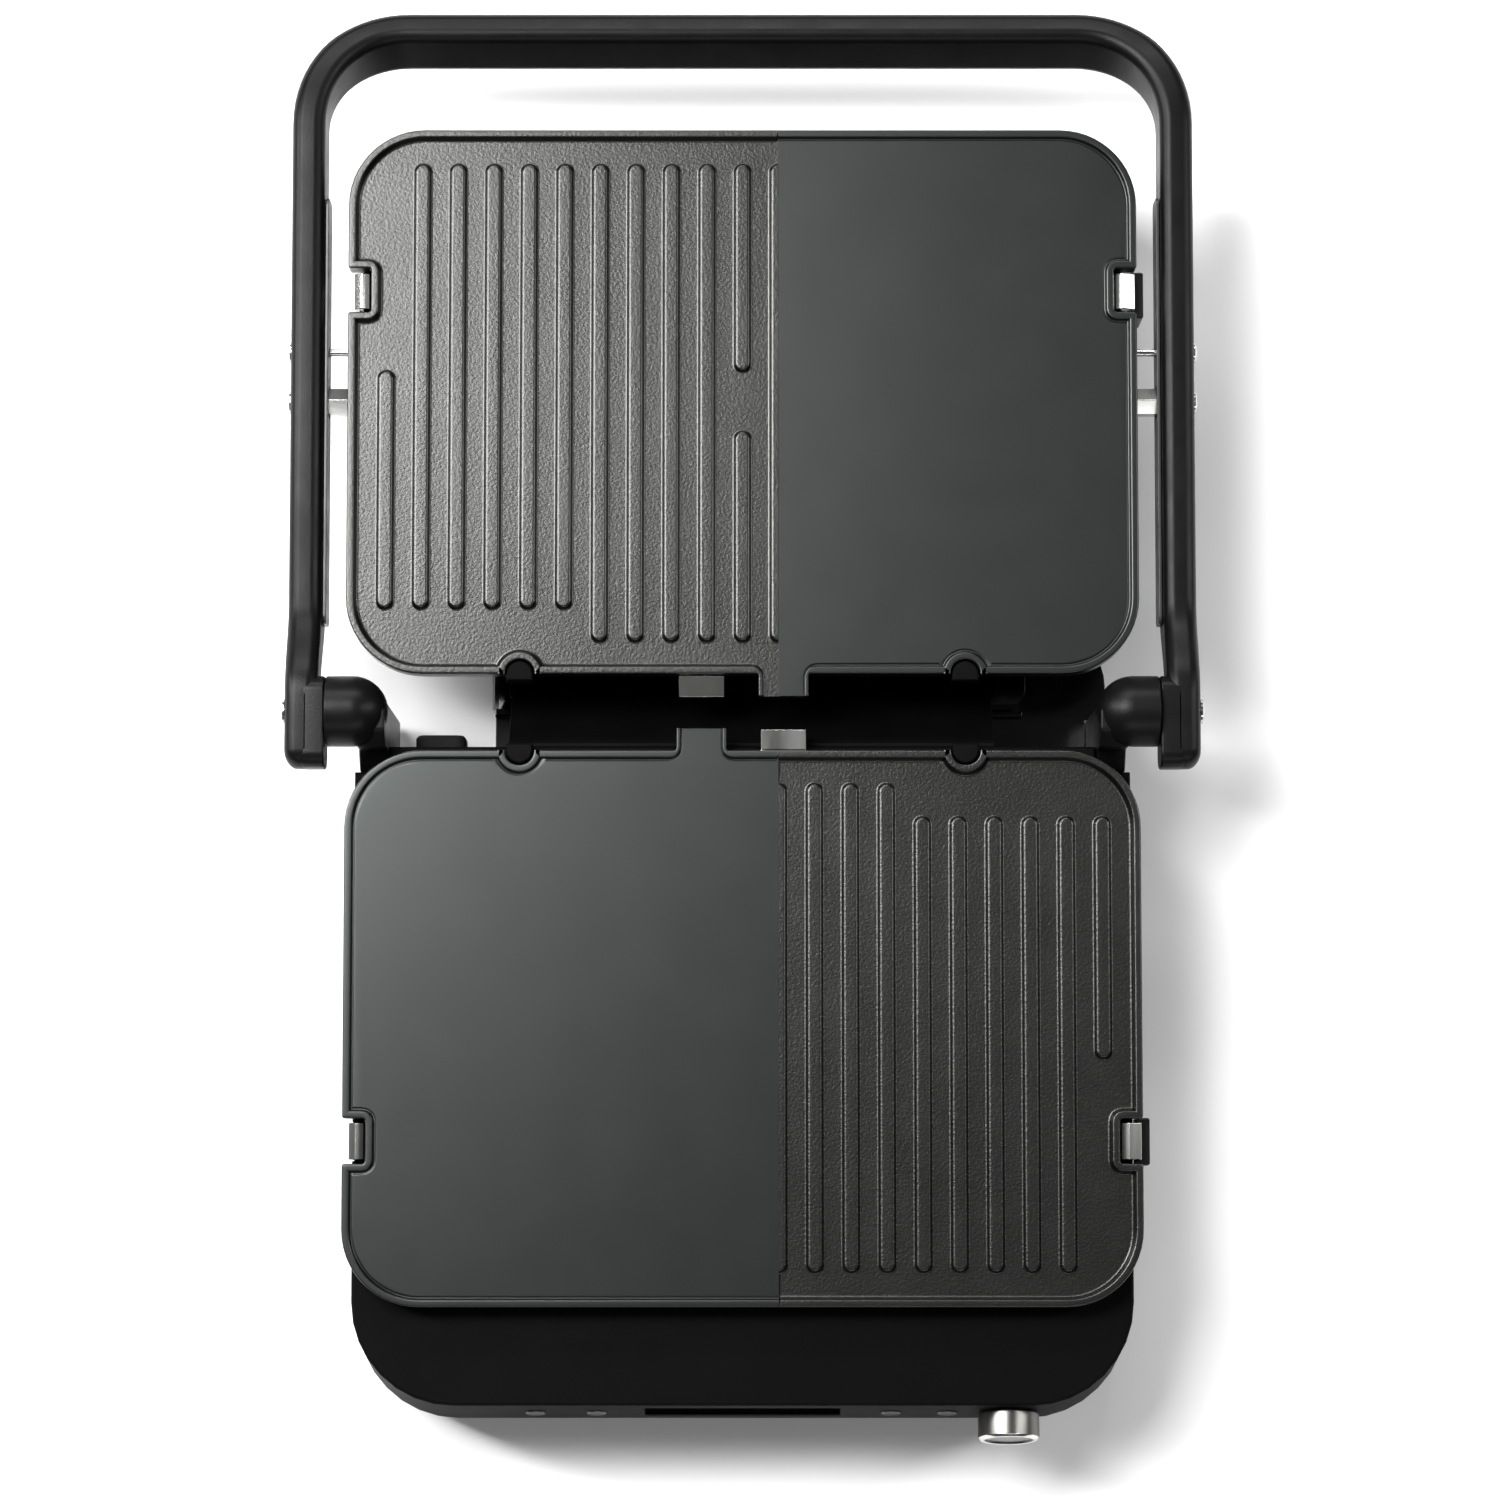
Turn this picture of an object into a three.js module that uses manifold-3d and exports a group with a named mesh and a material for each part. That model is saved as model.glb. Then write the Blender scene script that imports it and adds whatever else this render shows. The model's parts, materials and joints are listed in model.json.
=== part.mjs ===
// A flat-opening panini press: a base and a floating upper housing, each with a
// removable cast plate, joined by a U-shaped handle that turns on two hinge posts.
// Millimetres, +Z up, front towards -Y. The press lies fully open at rest.

import * as THREE from 'three';
import { mergeVertices } from 'three/addons/utils/BufferGeometryUtils.js';
import Module from 'manifold-3d';

const wasm = await Module();
wasm.setup();

// ---------------------------------------------------------------- dimensions

const GAP = 0.3; // between pieces that touch
const FINE_ARC = 4; // curve divisions; a quarter turn gets twice as many steps
const COARSE_ARC = 2; // for outlines under this span
const SMALL_SPAN = 70;

// The press is drawn with its hinge line along X at y = 0, this high above the
// table, and then moved by HINGE_LINE_Y to centre the open press on the origin.
const AXIS_Z = 81;
const HINGE_LINE_Y = 5;

// Both plates are one casting, turned half a turn about the vertical for the lid.
const PLATE = { width: 310, depth: 216, corner: 30, near: 15, bottom: 70, top: 80 };
const PLATE_Y = -(PLATE.near + PLATE.depth / 2);
const RIM = 3.1; // flat top of the rim
const RIM_SLOPE = 1.3; // how far the rim's inner wall leans
const GROOVE_Z = 77; // floor between the ribs
const SMOOTH_Z = 78.6; // griddle half
const SPLIT_X = 14; // where the ribbed half meets the griddle half
const RIB = { pitch: 14, base: 7.6, top: 4.6, height: 2 };
const RIB_ENDS = { far: -95.5, near: 96, short: 83, stub: -13, middle: 11 };
const LEDGE_Z = 74; // top of the ledges that hooks and tongues reach over
const SPOUT = { x: -16, width: 19.5, channel: 16.4, reach: 8.6, bottom: 73 };
const HOOK = { x: 87, radius: 5.2, back: -12.3, top: 79.6 };
const BRACKET_FOOT = { y: -23, thickness: 1.2 }; // under the plate, on the casing
const LATCH = { y: -44, depth: 9, length: 17.5, ledge: 5 };
const NOTCH_RIM = 3.8;

// Base
const BASE = { half: 152, front: -275, rear: -12.3, corner: 40, bottom: 7, seam: 36, deck: 68 };
const WALL = 2.5;
const DECK_T = 3;
const PANEL_SLOPE = 0.2; // the front panel moves back this much for each unit of height
const PANEL_BACK = -226.5; // where the panel's wings meet the side walls
const WELL = { width: 266, depth: 160, corner: 15, floor: 53, sheet: 1.2 };
const FOOT = { radius: 11, height: 6.7 };
const FOOT_SPOTS = {
  front_left: [-112, -238],
  front_right: [112, -238],
  rear_left: [-118, -34],
  rear_right: [118, -34],
};

// Hinge posts and handle
const POST = { inner: 139, outer: 150.3, foot: -22, front: -14, back: 4.5 };
const BOSS = { radius: 13.8, tip: 138, face: 162 };
const PIVOT_R = 4; // of the screws that the handle turns on
const ARM = { inner: 165, outer: 178, bottom: 52, top: 77 };
const BAR = { inner: 267.5, outer: 280.5 };
const HANDLE_CORNER = 45;
const HANDLE_EDGE = 4.5;
const BAR_LEAN = THREE.MathUtils.degToRad(20); // how far the corners bend down
const ARM_END = { y: -22.5, low: 72, high: 90, inner: 162.3, corner: 7 };
const CRANK = { from: 7, to: 44, pull: 18, root: 56 }; // where the arm's end rises
const PIVOT_PAD = { back: 13.5, corner: 6, depth: 9 };
const PIN_Z = 64;
const FLOAT_Y = 125; // the lid turns about this line
const LIMIT_Y = 145; // the limit pins sit in slots here
const HINGE_SCREW = { radius: PIVOT_R, inner: 149, head: 4.8, sides: 16 };
const FLOAT_PIN = { radius: 2.5, inner: 143, head: 4.6, sides: 12, hexagon: 5.9 };
const LIMIT_PIN = { radius: 1.5, inner: 144, head: 4.2, sides: 10 };
const BORE_GAP = 0.2; // round a pin
const LINER = { from: 36, to: 206, low: 57.5, high: 72, thickness: 1.2 };

// Upper housing, as it lies open
const LID = { half: 150, near: 17, far: 228, corner: 26, seam: 56, top: 68, bottom: 7 };
const PAD = { x: 100, y: 130, width: 14, length: 28 };

// Drip tray and the shelf that it slides on
const GLAND = { x: -121, z: 22, width: 20, height: 18, back: -3.5, bore: 3.8 };
const SHELF = { left: -100, right: 147, back: 39, low: 8, high: 11, corner: 20 };
const TRAY = { left: -93.5, right: 113, front: 8, back: 36, low: 11.3, top: 36, wall: 1.6 };

// Controls, in the front panel's own plane
const KNOB_X = 104;
const KNOB = { radius: 12, back: 0.8, front: 11.3 };
const KNOB_SHAFT = { radius: 3, back: -11.7, front: 8.4 };
const BUTTONS = { power: -81, mode: -57, timer_down: 58, timer_up: 80 };
const BUTTON_R = 4;
const WINDOW = { width: 76, height: 17 };

// Latches: a rocker on a pin in each housing's side
const ROCKER = { x: 149, z: 60, hub: 3.6, pin: 1.5 };

// ------------------------------------------------------------------ helpers

function signedVolume(positions, index) {
  const [a, b, c] = [0, 0, 0].map(() => new THREE.Vector3());
  let sum = 0;
  for (let i = 0; i < index.length; i += 3) {
    a.fromArray(positions, 3 * index[i]);
    b.fromArray(positions, 3 * index[i + 1]);
    c.fromArray(positions, 3 * index[i + 2]);
    sum += a.dot(b.cross(c));
  }
  return sum / 6;
}

function solid(geometry) {
  const bare = new THREE.BufferGeometry();
  bare.setAttribute('position', geometry.getAttribute('position').clone());
  if (geometry.index) bare.setIndex(geometry.index.clone());
  const merged = mergeVertices(bare, 1e-4);
  const vertProperties = new Float32Array(merged.getAttribute('position').array);
  const triVerts = new Uint32Array(merged.index.array);
  if (signedVolume(vertProperties, triVerts) < 0) triVerts.reverse();
  return new wasm.Manifold(new wasm.Mesh({ numProp: 3, vertProperties, triVerts }));
}

function surface(body) {
  const { vertProperties, triVerts } = body.getMesh();
  const geometry = new THREE.BufferGeometry();
  geometry.setAttribute('position', new THREE.BufferAttribute(vertProperties, 3));
  geometry.setIndex(new THREE.BufferAttribute(triVerts, 1));
  geometry.computeVertexNormals();
  return geometry;
}

const join = (first, ...others) => others.reduce((a, b) => a.add(b), first);
const cut = (first, ...others) => others.reduce((a, b) => a.subtract(b), first);
const moved = (body, matrix) => solid(surface(body).applyMatrix4(matrix));
const mirrored = (body) => moved(body, new THREE.Matrix4().makeScale(-1, 1, 1));

function piece(name, material, body) {
  const mesh = new THREE.Mesh(surface(body), material);
  mesh.name = name;
  return mesh;
}

function box(x0, x1, y0, y1, z0, z1) {
  const geometry = new THREE.BoxGeometry(x1 - x0, y1 - y0, z1 - z0);
  return solid(geometry.translate((x0 + x1) / 2, (y0 + y1) / 2, (z0 + z1) / 2));
}

function rod(axis, radius, from, to, [u, v], sides = 20) {
  const geometry = new THREE.CylinderGeometry(radius, radius, to - from, sides);
  const middle = (from + to) / 2;
  if (axis === 'x') geometry.rotateZ(Math.PI / 2).translate(middle, u, v);
  if (axis === 'y') geometry.translate(u, middle, v);
  if (axis === 'z') geometry.rotateX(Math.PI / 2).translate(u, v, middle);
  return solid(geometry);
}

function roundedRect(width, depth, corner, x = 0, y = 0) {
  const [w, d, turn] = [width / 2, depth / 2, Math.PI / 2];
  const shape = new THREE.Shape();
  shape.moveTo(x - w, y - d + corner);
  shape.absarc(x - w + corner, y - d + corner, corner, 2 * turn, 3 * turn);
  shape.absarc(x + w - corner, y - d + corner, corner, -turn, 0);
  shape.absarc(x + w - corner, y + d - corner, corner, 0, turn);
  shape.absarc(x - w + corner, y + d - corner, corner, turn, 2 * turn);
  return shape;
}

const circle = (x, y, radius) => roundedRect(2 * radius, 2 * radius, radius, x, y);

function polygon(points) {
  return new THREE.Shape(points.map(([u, v]) => new THREE.Vector2(u, v)));
}

// Small outlines need fewer steps on their round stretches.
function arcSteps(shape) {
  const span = new THREE.Box2().setFromPoints(shape.getPoints(2)).getSize(new THREE.Vector2());
  return Math.max(span.x, span.y) < SMALL_SPAN ? COARSE_ARC : FINE_ARC;
}

// Upright prism. edge rounds its top and bottom rims without widening it.
function prism(shape, z0, z1, edge = 0, steps = 1) {
  const geometry = new THREE.ExtrudeGeometry(shape, {
    depth: z1 - z0 - 2 * edge,
    curveSegments: arcSteps(shape),
    bevelEnabled: edge > 0,
    bevelThickness: edge,
    bevelSize: edge,
    bevelOffset: -edge,
    bevelSegments: steps,
  });
  return solid(geometry.translate(0, 0, z0 + edge));
}

// A raised or sunk form with leaning sides: the outline at level z, drawn in by
// lean over the given height above it and below it.
function drafted(shape, z, height, lean) {
  const geometry = new THREE.ExtrudeGeometry(shape, {
    depth: 0.01,
    curveSegments: arcSteps(shape),
    bevelThickness: height,
    bevelSize: lean,
    bevelOffset: -lean,
    bevelSegments: 1,
  });
  return solid(geometry.translate(0, 0, z));
}

// Prisms that lie down: the shape is drawn in (y, z) or in (x, z).
function lying(axis, shape, from, to, edge = 0, steps = 1) {
  const body = prism(shape, 0, to - from, edge, steps);
  const [x, y, z] = [0, 1, 2].map((i) => new THREE.Vector3().setComponent(i, 1));
  const basis = new THREE.Matrix4();
  if (axis === 'x') basis.makeBasis(y, z, x).setPosition(from, 0, 0);
  if (axis === 'y') basis.makeBasis(x, z, y.negate()).setPosition(0, to, 0);
  return moved(body, basis);
}

// A turned form about the Z axis, from [radius, z] points.
function turned(points, sides = 28) {
  const profile = points.map(([r, z]) => new THREE.Vector2(r, z));
  return solid(new THREE.LatheGeometry(profile, sides).rotateX(Math.PI / 2));
}

function tube(route, radius, steps, sides = 6) {
  const section = new THREE.Shape();
  section.absarc(0, 0, radius, 0, 2 * Math.PI);
  const points = section.getSpacedPoints(sides).slice(0, sides);
  return solid(new THREE.ExtrudeGeometry(new THREE.Shape(points), { steps, extrudePath: route }));
}

// ---------------------------------------------------------------- materials

function finish(color, roughness, metalness = 0) {
  return new THREE.MeshStandardMaterial({ color, roughness, metalness });
}

const castPlate = finish(0x4b4b49, 0.55, 0.4);
const satinBlack = finish(0x141415, 0.4);
const matteBlack = finish(0x121313, 0.6);
const glossBlack = finish(0x0a0a0b, 0.12);
const darkMetal = finish(0x3c3b3d, 0.4, 0.8);
const steel = finish(0xc9c9c7, 0.25, 1);
const knobMetal = finish(0x7d7b78, 0.35, 1);
const aluminiumSheet = finish(0xb8b9ba, 0.35, 1);
const heaterSheath = finish(0x4a4643, 0.5, 0.8);
const rubber = finish(0x101010, 0.9);
const boardGreen = finish(0x1d5a35, 0.6);
const liningGrey = finish(0x3a3a3b, 0.5);

// ------------------------------------------------------------ cooking plates

function ribOutline(x, low, high) {
  const shape = new THREE.Shape();
  const r = RIB.base / 2;
  shape.moveTo(x - r, low + r);
  shape.absarc(x, low + r, r, Math.PI, 2 * Math.PI);
  shape.absarc(x, high - r, r, 0, Math.PI);
  return shape;
}

// The stretches of rib in column i, from the plate's middle.
function ribStretches(i) {
  if (i === 0) {
    return [[RIB_ENDS.far, -RIB_ENDS.middle], [RIB_ENDS.middle, RIB_ENDS.near]];
  }
  if (i === 10) return [[RIB_ENDS.stub, RIB_ENDS.short]];
  return [[RIB_ENDS.far, Math.abs(i) > 4 ? RIB_ENDS.short : RIB_ENDS.near]];
}

function ribs(split) {
  const found = [];
  for (let i = Math.round(split / RIB.pitch); i <= 10; i += 1) {
    for (const [low, high] of ribStretches(i)) {
      const outline = ribOutline(i * RIB.pitch, PLATE_Y + low, PLATE_Y + high);
      const rib = drafted(outline, GROOVE_Z, RIB.height, (RIB.base - RIB.top) / 2);
      const griddle = box(-200, split, PLATE_Y - 120, PLATE_Y + 120, GROOVE_Z - 4, 90);
      found.push(i * RIB.pitch === split ? cut(rib, griddle) : rib);
    }
  }
  return found;
}

// One cutter for each side latch, and one for each rear hook.
function notchSpots() {
  const sides = [-1, 1].map((side) => ({
    shape: (grow) => {
      const deep = LATCH.depth + grow;
      const long = LATCH.length + 2 * grow;
      const x = side * (PLATE.width / 2 - deep / 2 + 4);
      return roundedRect(deep + 8, long, 1 + grow, x, PLATE_Y + LATCH.y);
    },
  }));
  const hooks = [-1, 1].map((side) => ({
    shape: (grow) => circle(side * HOOK.x, -PLATE.near, HOOK.radius + 0.5 + grow),
  }));
  return [...sides, ...hooks];
}

function cookingRecess(split) {
  const inner = roundedRect(
    PLATE.width - 2 * RIM, PLATE.depth - 2 * RIM, PLATE.corner - RIM, 0, PLATE_Y,
  );
  const lean = RIM_SLOPE;
  const deep = PLATE.top - GROOVE_Z;
  const bowl = solid(new THREE.ExtrudeGeometry(inner, {
    depth: 4,
    curveSegments: FINE_ARC,
    bevelThickness: deep,
    bevelSize: lean,
    bevelOffset: -lean,
    bevelSegments: 1,
  }).translate(0, 0, PLATE.top));
  const walls = notchSpots().map(({ shape }) => drafted(shape(NOTCH_RIM), GROOVE_Z, deep, lean));
  const half = SPOUT.channel / 2;
  const end = -PLATE.near + SPOUT.reach;
  const channel = box(SPOUT.x - half, SPOUT.x + half, -PLATE.near - 8, end + 1, GROOVE_Z, 84);
  const griddle = box(-200, split, PLATE_Y - 120, 10, GROOVE_Z - 1, SMOOTH_Z);
  return cut(join(cut(bowl, ...walls), channel), griddle);
}

function plateBody(split) {
  const outline = roundedRect(PLATE.width, PLATE.depth, PLATE.corner, 0, PLATE_Y);
  const blank = prism(outline, PLATE.bottom, PLATE.top, 0.8);
  const half = SPOUT.width / 2;
  const end = -PLATE.near + SPOUT.reach;
  const spout = box(
    SPOUT.x - half, SPOUT.x + half, -PLATE.near - 6, end, SPOUT.bottom, PLATE.top,
  );
  const notches = notchSpots().map(({ shape }) => prism(shape(0), LEDGE_Z, PLATE.top + 2));
  const clearOfLedge = [-1, 1].map((side) => {
    const from = PLATE.width / 2 - LATCH.ledge;
    const x = side * (from + 5);
    const long = LATCH.length / 2;
    const y = PLATE_Y + LATCH.y;
    return box(x - 5, x + 5, y - long, y + long, PLATE.bottom - 1, LEDGE_Z + 1);
  });
  const carved = cut(join(blank, spout), cookingRecess(split), ...notches, ...clearOfLedge);
  return join(carved, ...ribs(split));
}

// ---------------------------------------------------- shared by both housings

function heaterBody() {
  const path = new THREE.CurvePath();
  const z = PLATE.bottom - 9;
  const at = (x, y) => new THREE.Vector3(x, y, z);
  const [x, near, far, bend] = [100, -72, -178, 28];
  const wellBack = PLATE_Y + WELL.depth / 2;
  const corners = [
    [-32, wellBack + 4], [-32, near], [-x, near], [-x, far],
    [x, far], [x, near], [32, near], [32, wellBack + 4],
  ].map(([u, v]) => at(u, v));
  let start = corners[0];
  for (let i = 1; i < corners.length - 1; i += 1) {
    const [before, corner, after] = [corners[i - 1], corners[i], corners[i + 1]];
    const reach = Math.min(bend, before.distanceTo(corner) / 2, corner.distanceTo(after) / 2);
    const enter = corner.clone().add(before.clone().sub(corner).setLength(reach));
    const leave = corner.clone().add(after.clone().sub(corner).setLength(reach));
    path.add(new THREE.LineCurve3(start, enter));
    path.add(new THREE.QuadraticBezierCurve3(enter, corner, leave));
    start = leave;
  }
  path.add(new THREE.LineCurve3(start, corners.at(-1)));
  return tube(path, 3.2, 52);
}

function reflectorBody() {
  const clear = 1;
  const pan = (inset) => roundedRect(
    WELL.width - 2 * inset, WELL.depth - 2 * inset, WELL.corner - inset, 0, PLATE_Y,
  );
  const flange = roundedRect(WELL.width + 14, WELL.depth + 14, WELL.corner + 7, 0, PLATE_Y);
  const top = PLATE.bottom - GAP;
  const outside = join(
    prism(pan(clear), WELL.floor, BASE.deck + 1),
    prism(flange, BASE.deck + GAP, top),
  );
  const back = PLATE_Y + WELL.depth / 2;
  const leads = [-32, 32].map((x) => rod('y', 3.7, back - 6, back + 3, [x, PLATE.bottom - 9], 12));
  const hollow = prism(pan(clear + WELL.sheet), WELL.floor + WELL.sheet, top + 1);
  return cut(outside, hollow, ...leads);
}

function probeBody() {
  const foot = WELL.floor + WELL.sheet + GAP;
  const tip = PLATE.bottom - GAP;
  const points = [[0, foot], [7, foot], [7, foot + 4], [4, foot + 5], [4, tip], [0, tip]];
  const matrix = new THREE.Matrix4().makeTranslation(0, PLATE_Y, 0);
  return moved(turned(points, 16), matrix);
}

// A lug behind the plate, with a round nose over the ledge in the plate's edge.
function hookBody(side) {
  const x = side * HOOK.x;
  const nose = new THREE.Shape();
  nose.moveTo(x - HOOK.radius, HOOK.back);
  nose.lineTo(x - HOOK.radius, -PLATE.near);
  nose.absarc(x, -PLATE.near, HOOK.radius, Math.PI, 1.5 * Math.PI);
  nose.absarc(x, -PLATE.near, HOOK.radius, 1.5 * Math.PI, 2 * Math.PI);
  nose.lineTo(x + HOOK.radius, HOOK.back);
  const from = -PLATE.near + GAP;
  const [a, b, low] = [x - HOOK.radius, x + HOOK.radius, BASE.deck + GAP];
  const stem = box(a, b, from, HOOK.back, low, LEDGE_Z + 2);
  const foot = box(a, b, BRACKET_FOOT.y, HOOK.back, low, low + BRACKET_FOOT.thickness);
  return join(prism(nose, LEDGE_Z + GAP, HOOK.top, 0.6), stem, foot);
}

// A bent steel leaf that presses the plate's rear edge towards the latches.
function springClipBody() {
  const [tip, face, sheet] = [-PLATE.near + 0.6, -6.4, BRACKET_FOOT.thickness];
  const foot = BRACKET_FOOT.y;
  const low = BASE.deck + GAP;
  const leaf = polygon([
    [foot, low], [face, low], [face, 75.4], [tip, 77.4],
    [tip, 77.4 - sheet], [face - sheet, 75.4 - sheet], [face - sheet, low + sheet],
    [foot, low + sheet],
  ]);
  return lying('x', leaf, -SPOUT.x - 8.8, -SPOUT.x + 8.8);
}

// The steel tongue over the ledge, ridged along its top, with its leg outside.
function tongueProfile(legInner, legOuter, legFoot) {
  const tip = PLATE.width / 2 - LATCH.depth + 0.8;
  return polygon([
    [tip, LEDGE_Z + GAP], [legInner, LEDGE_Z + GAP], [legInner, legFoot],
    [legOuter, legFoot], [legOuter, 76.2], [tip + 3, 78.4], [tip, 76.6],
  ]);
}

function latchTongueBody() {
  const half = 7.1;
  const y = PLATE_Y + LATCH.y;
  return lying('y', tongueProfile(152.7, 154.6, 64.7), y - half, y + half);
}

function fixedTongueBody() {
  const half = 7.1;
  const y = PLATE_Y + LATCH.y;
  const bar = lying('y', tongueProfile(150.8, 152.7, 58), y - half, y + half);
  return mirrored(bar);
}

// The rocker that carries the moving tongue; pressing its foot in lets the plate go.
function releaseButtonBody() {
  const y = PLATE_Y + LATCH.y;
  const { x, z, hub, pin } = ROCKER;
  const side = polygon([
    [153, 69.5], [153, 58], [155.8, 47], [157.2, 47], [158.4, 50], [158.4, 69.5],
  ]);
  const cap = lying('y', side, y - 9.2, y + 9.2, 0.6);
  const forLeg = box(152, 154.9, y - 7.4, y + 7.4, 64.4, 75);
  const web = box(x, 154, y - 6.5, y + 4, z - 3, z + 4.4);
  const boss = rod('y', hub, y - 6.5, y + 4, [x, z], 12);
  const bore = rod('y', pin + 0.2, y - 12, y + 12, [x, z], 12);
  return cut(join(cut(cap, forLeg), web, boss), bore);
}

function latchPinBody() {
  const y = PLATE_Y + LATCH.y;
  return rod('y', ROCKER.pin, y - 12.6, y + 12.6, [ROCKER.x, ROCKER.z], 12);
}

// A torsion spring wound about the latch pin beside the rocker's hub.
function latchSpringBody() {
  const y = PLATE_Y + LATCH.y;
  const [turns, wire, pitch, radius] = [3, 0.4, 1.1, 2.6];
  class Helix extends THREE.Curve {
    getPoint(t, target = new THREE.Vector3()) {
      const angle = 2 * Math.PI * turns * t;
      return target.set(
        ROCKER.x + radius * Math.cos(angle),
        y + 4.9 + pitch * turns * t,
        ROCKER.z + radius * Math.sin(angle),
      );
    }
  }
  return tube(new Helix(), wire, 9 * turns, 4);
}

// Cutters and ears that let a rocker into a housing's side wall.
function rockerWindow(wallX, top) {
  const y = PLATE_Y + LATCH.y;
  const window = box(ROCKER.x - 7, wallX + 6, y - 9.4, y + 9.4, 53, top);
  const bore = rod('y', ROCKER.pin + 0.15, y - 12.9, y + 12.9, [ROCKER.x, ROCKER.z], 12);
  return { window, bore };
}

function rockerEars(wallX) {
  const y = PLATE_Y + LATCH.y;
  return [-1, 1].map((side) => {
    const [a, b] = [y + side * 9.4, y + side * 14.5].sort((p, q) => p - q);
    return box(ROCKER.x - 5, wallX - 0.2, a, b, LID.seam + GAP, BASE.deck - DECK_T + 0.5);
  });
}

function fixedTongueSlot() {
  const y = PLATE_Y + LATCH.y;
  return box(-160, -150.4, y - 7.5, y + 7.5, 57.5, 90);
}

function wellCutter() {
  const outline = roundedRect(WELL.width, WELL.depth, WELL.corner, 0, PLATE_Y);
  return prism(outline, 40, 90);
}

// ---------------------------------------------------------------------- base

function baseOutline(front, inset = 0) {
  const half = BASE.half - inset;
  const corner = BASE.corner - inset;
  const low = front + inset;
  const notchX = POST.inner - GAP - inset;
  const notchY = POST.foot - GAP - inset;
  const rear = BASE.rear - inset;
  const shape = new THREE.Shape();
  shape.moveTo(-half, notchY);
  shape.lineTo(-half, low + corner);
  shape.absarc(-half + corner, low + corner, corner, Math.PI, 1.5 * Math.PI);
  shape.absarc(half - corner, low + corner, corner, -0.5 * Math.PI, 0);
  shape.lineTo(half, notchY);
  shape.lineTo(notchX, notchY);
  shape.lineTo(notchX, rear);
  shape.lineTo(-notchX, rear);
  shape.lineTo(-notchX, notchY);
  return shape;
}

function baseShell() {
  const outside = prism(baseOutline(BASE.front), BASE.bottom, BASE.seam - GAP, 1.2);
  const inside = prism(baseOutline(BASE.front, WALL), BASE.bottom - 1, BASE.seam + 1);
  return piece('base_shell', matteBlack, cut(outside, inside));
}

function baseBottom() {
  const cover = prism(baseOutline(BASE.front, WALL + GAP), BASE.bottom, BASE.bottom + WALL);
  const vents = [];
  for (const side of [-1, 1]) {
    for (let i = 0; i < 5; i += 1) {
      const slot = roundedRect(5, 44, 2.4, side * (46 + 12 * i), PLATE_Y);
      vents.push(prism(slot, 0, 20));
    }
  }
  return piece('base_bottom', matteBlack, cut(cover, ...vents));
}

function baseDeck() {
  const front = BASE.front + PANEL_SLOPE * (BASE.deck - DECK_T - BASE.seam);
  const outside = prism(baseOutline(front), BASE.seam, BASE.deck, 1);
  const inside = prism(baseOutline(front, WALL), BASE.seam - 1, BASE.deck - DECK_T);
  const forPanel = box(
    -200, 200, BASE.front - 10, PANEL_BACK, BASE.seam - 1, BASE.deck - DECK_T,
  );
  const { window, bore } = rockerWindow(BASE.half, BASE.deck - DECK_T);
  const frame = join(cut(outside, inside), ...rockerEars(BASE.half));
  const body = cut(frame, forPanel, wellCutter(), window, bore, fixedTongueSlot());
  return piece('base_deck', matteBlack, body);
}

function foot(place) {
  const { radius, height } = FOOT;
  const points = [[0, 0], [radius - 1.5, 0], [radius, 1.5], [radius, height], [0, height]];
  const mesh = piece(`foot_${place}`, rubber, turned(points, 16));
  mesh.position.set(...FOOT_SPOTS[place], 0);
  return mesh;
}

// -------------------------------------------------------- front panel, controls

// The panel's own plane: X right, Y up the slope, Z straight out of its face.
const PANEL_MIDDLE = (BASE.seam + BASE.deck - DECK_T) / 2;
const panelMatrix = new THREE.Matrix4()
  .makeRotationX(Math.PI / 2 - Math.atan(PANEL_SLOPE))
  .setPosition(0, BASE.front + PANEL_SLOPE * (PANEL_MIDDLE - BASE.seam), PANEL_MIDDLE);

function frontPanel() {
  const top = BASE.deck - DECK_T - GAP;
  const band = cut(
    prism(baseOutline(BASE.front), BASE.seam, top),
    prism(baseOutline(BASE.front, WALL), BASE.seam - 1, top + 1),
  );
  const slope = new THREE.Matrix4().set(
    1, 0, 0, 0,
    0, 1, PANEL_SLOPE, -PANEL_SLOPE * BASE.seam,
    0, 0, 1, 0,
    0, 0, 0, 1,
  );
  const wings = moved(band, slope);
  const keep = box(-200, 200, BASE.front - 10, PANEL_BACK - GAP, BASE.seam - 1, top + 1);
  const holes = [
    ...Object.values(BUTTONS).map((x) => rod('z', BUTTON_R + 0.3, -8, 8, [x, 0], 20)),
    rod('z', 3.6, -8, 8, [KNOB_X, 0], 20),
    prism(roundedRect(WINDOW.width + 0.6, WINDOW.height + 0.6, 1.3), -8, 8),
  ].map((tool) => moved(tool, panelMatrix));
  return piece('front_panel', darkMetal, cut(wings.intersect(keep), ...holes));
}

function displayWindow() {
  return piece(
    'display_window', glossBlack,
    prism(roundedRect(WINDOW.width, WINDOW.height, 1), -2.4, -0.5),
  );
}

function controlBoard() {
  const card = prism(roundedRect(186, 22, 1), -9.2, -7.6);
  const switches = Object.values(BUTTONS).map((x) => box(x - 3, x + 3, -3, 3, -8, -5.6));
  const display = box(-36, 36, -7, 7, -8, -2.8);
  return piece('control_board', boardGreen, join(card, ...switches, display));
}

function panelButton(name, x) {
  const points = [
    [0, -4.1], [5.2, -4.1], [5.2, -2.9], [BUTTON_R, -2.9],
    [BUTTON_R, 0.5], [BUTTON_R - 0.4, 0.9], [0, 0.9],
  ];
  const mesh = piece(`${name}_button`, darkMetal, turned(points, 16));
  mesh.position.x = x;
  return mesh;
}

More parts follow.
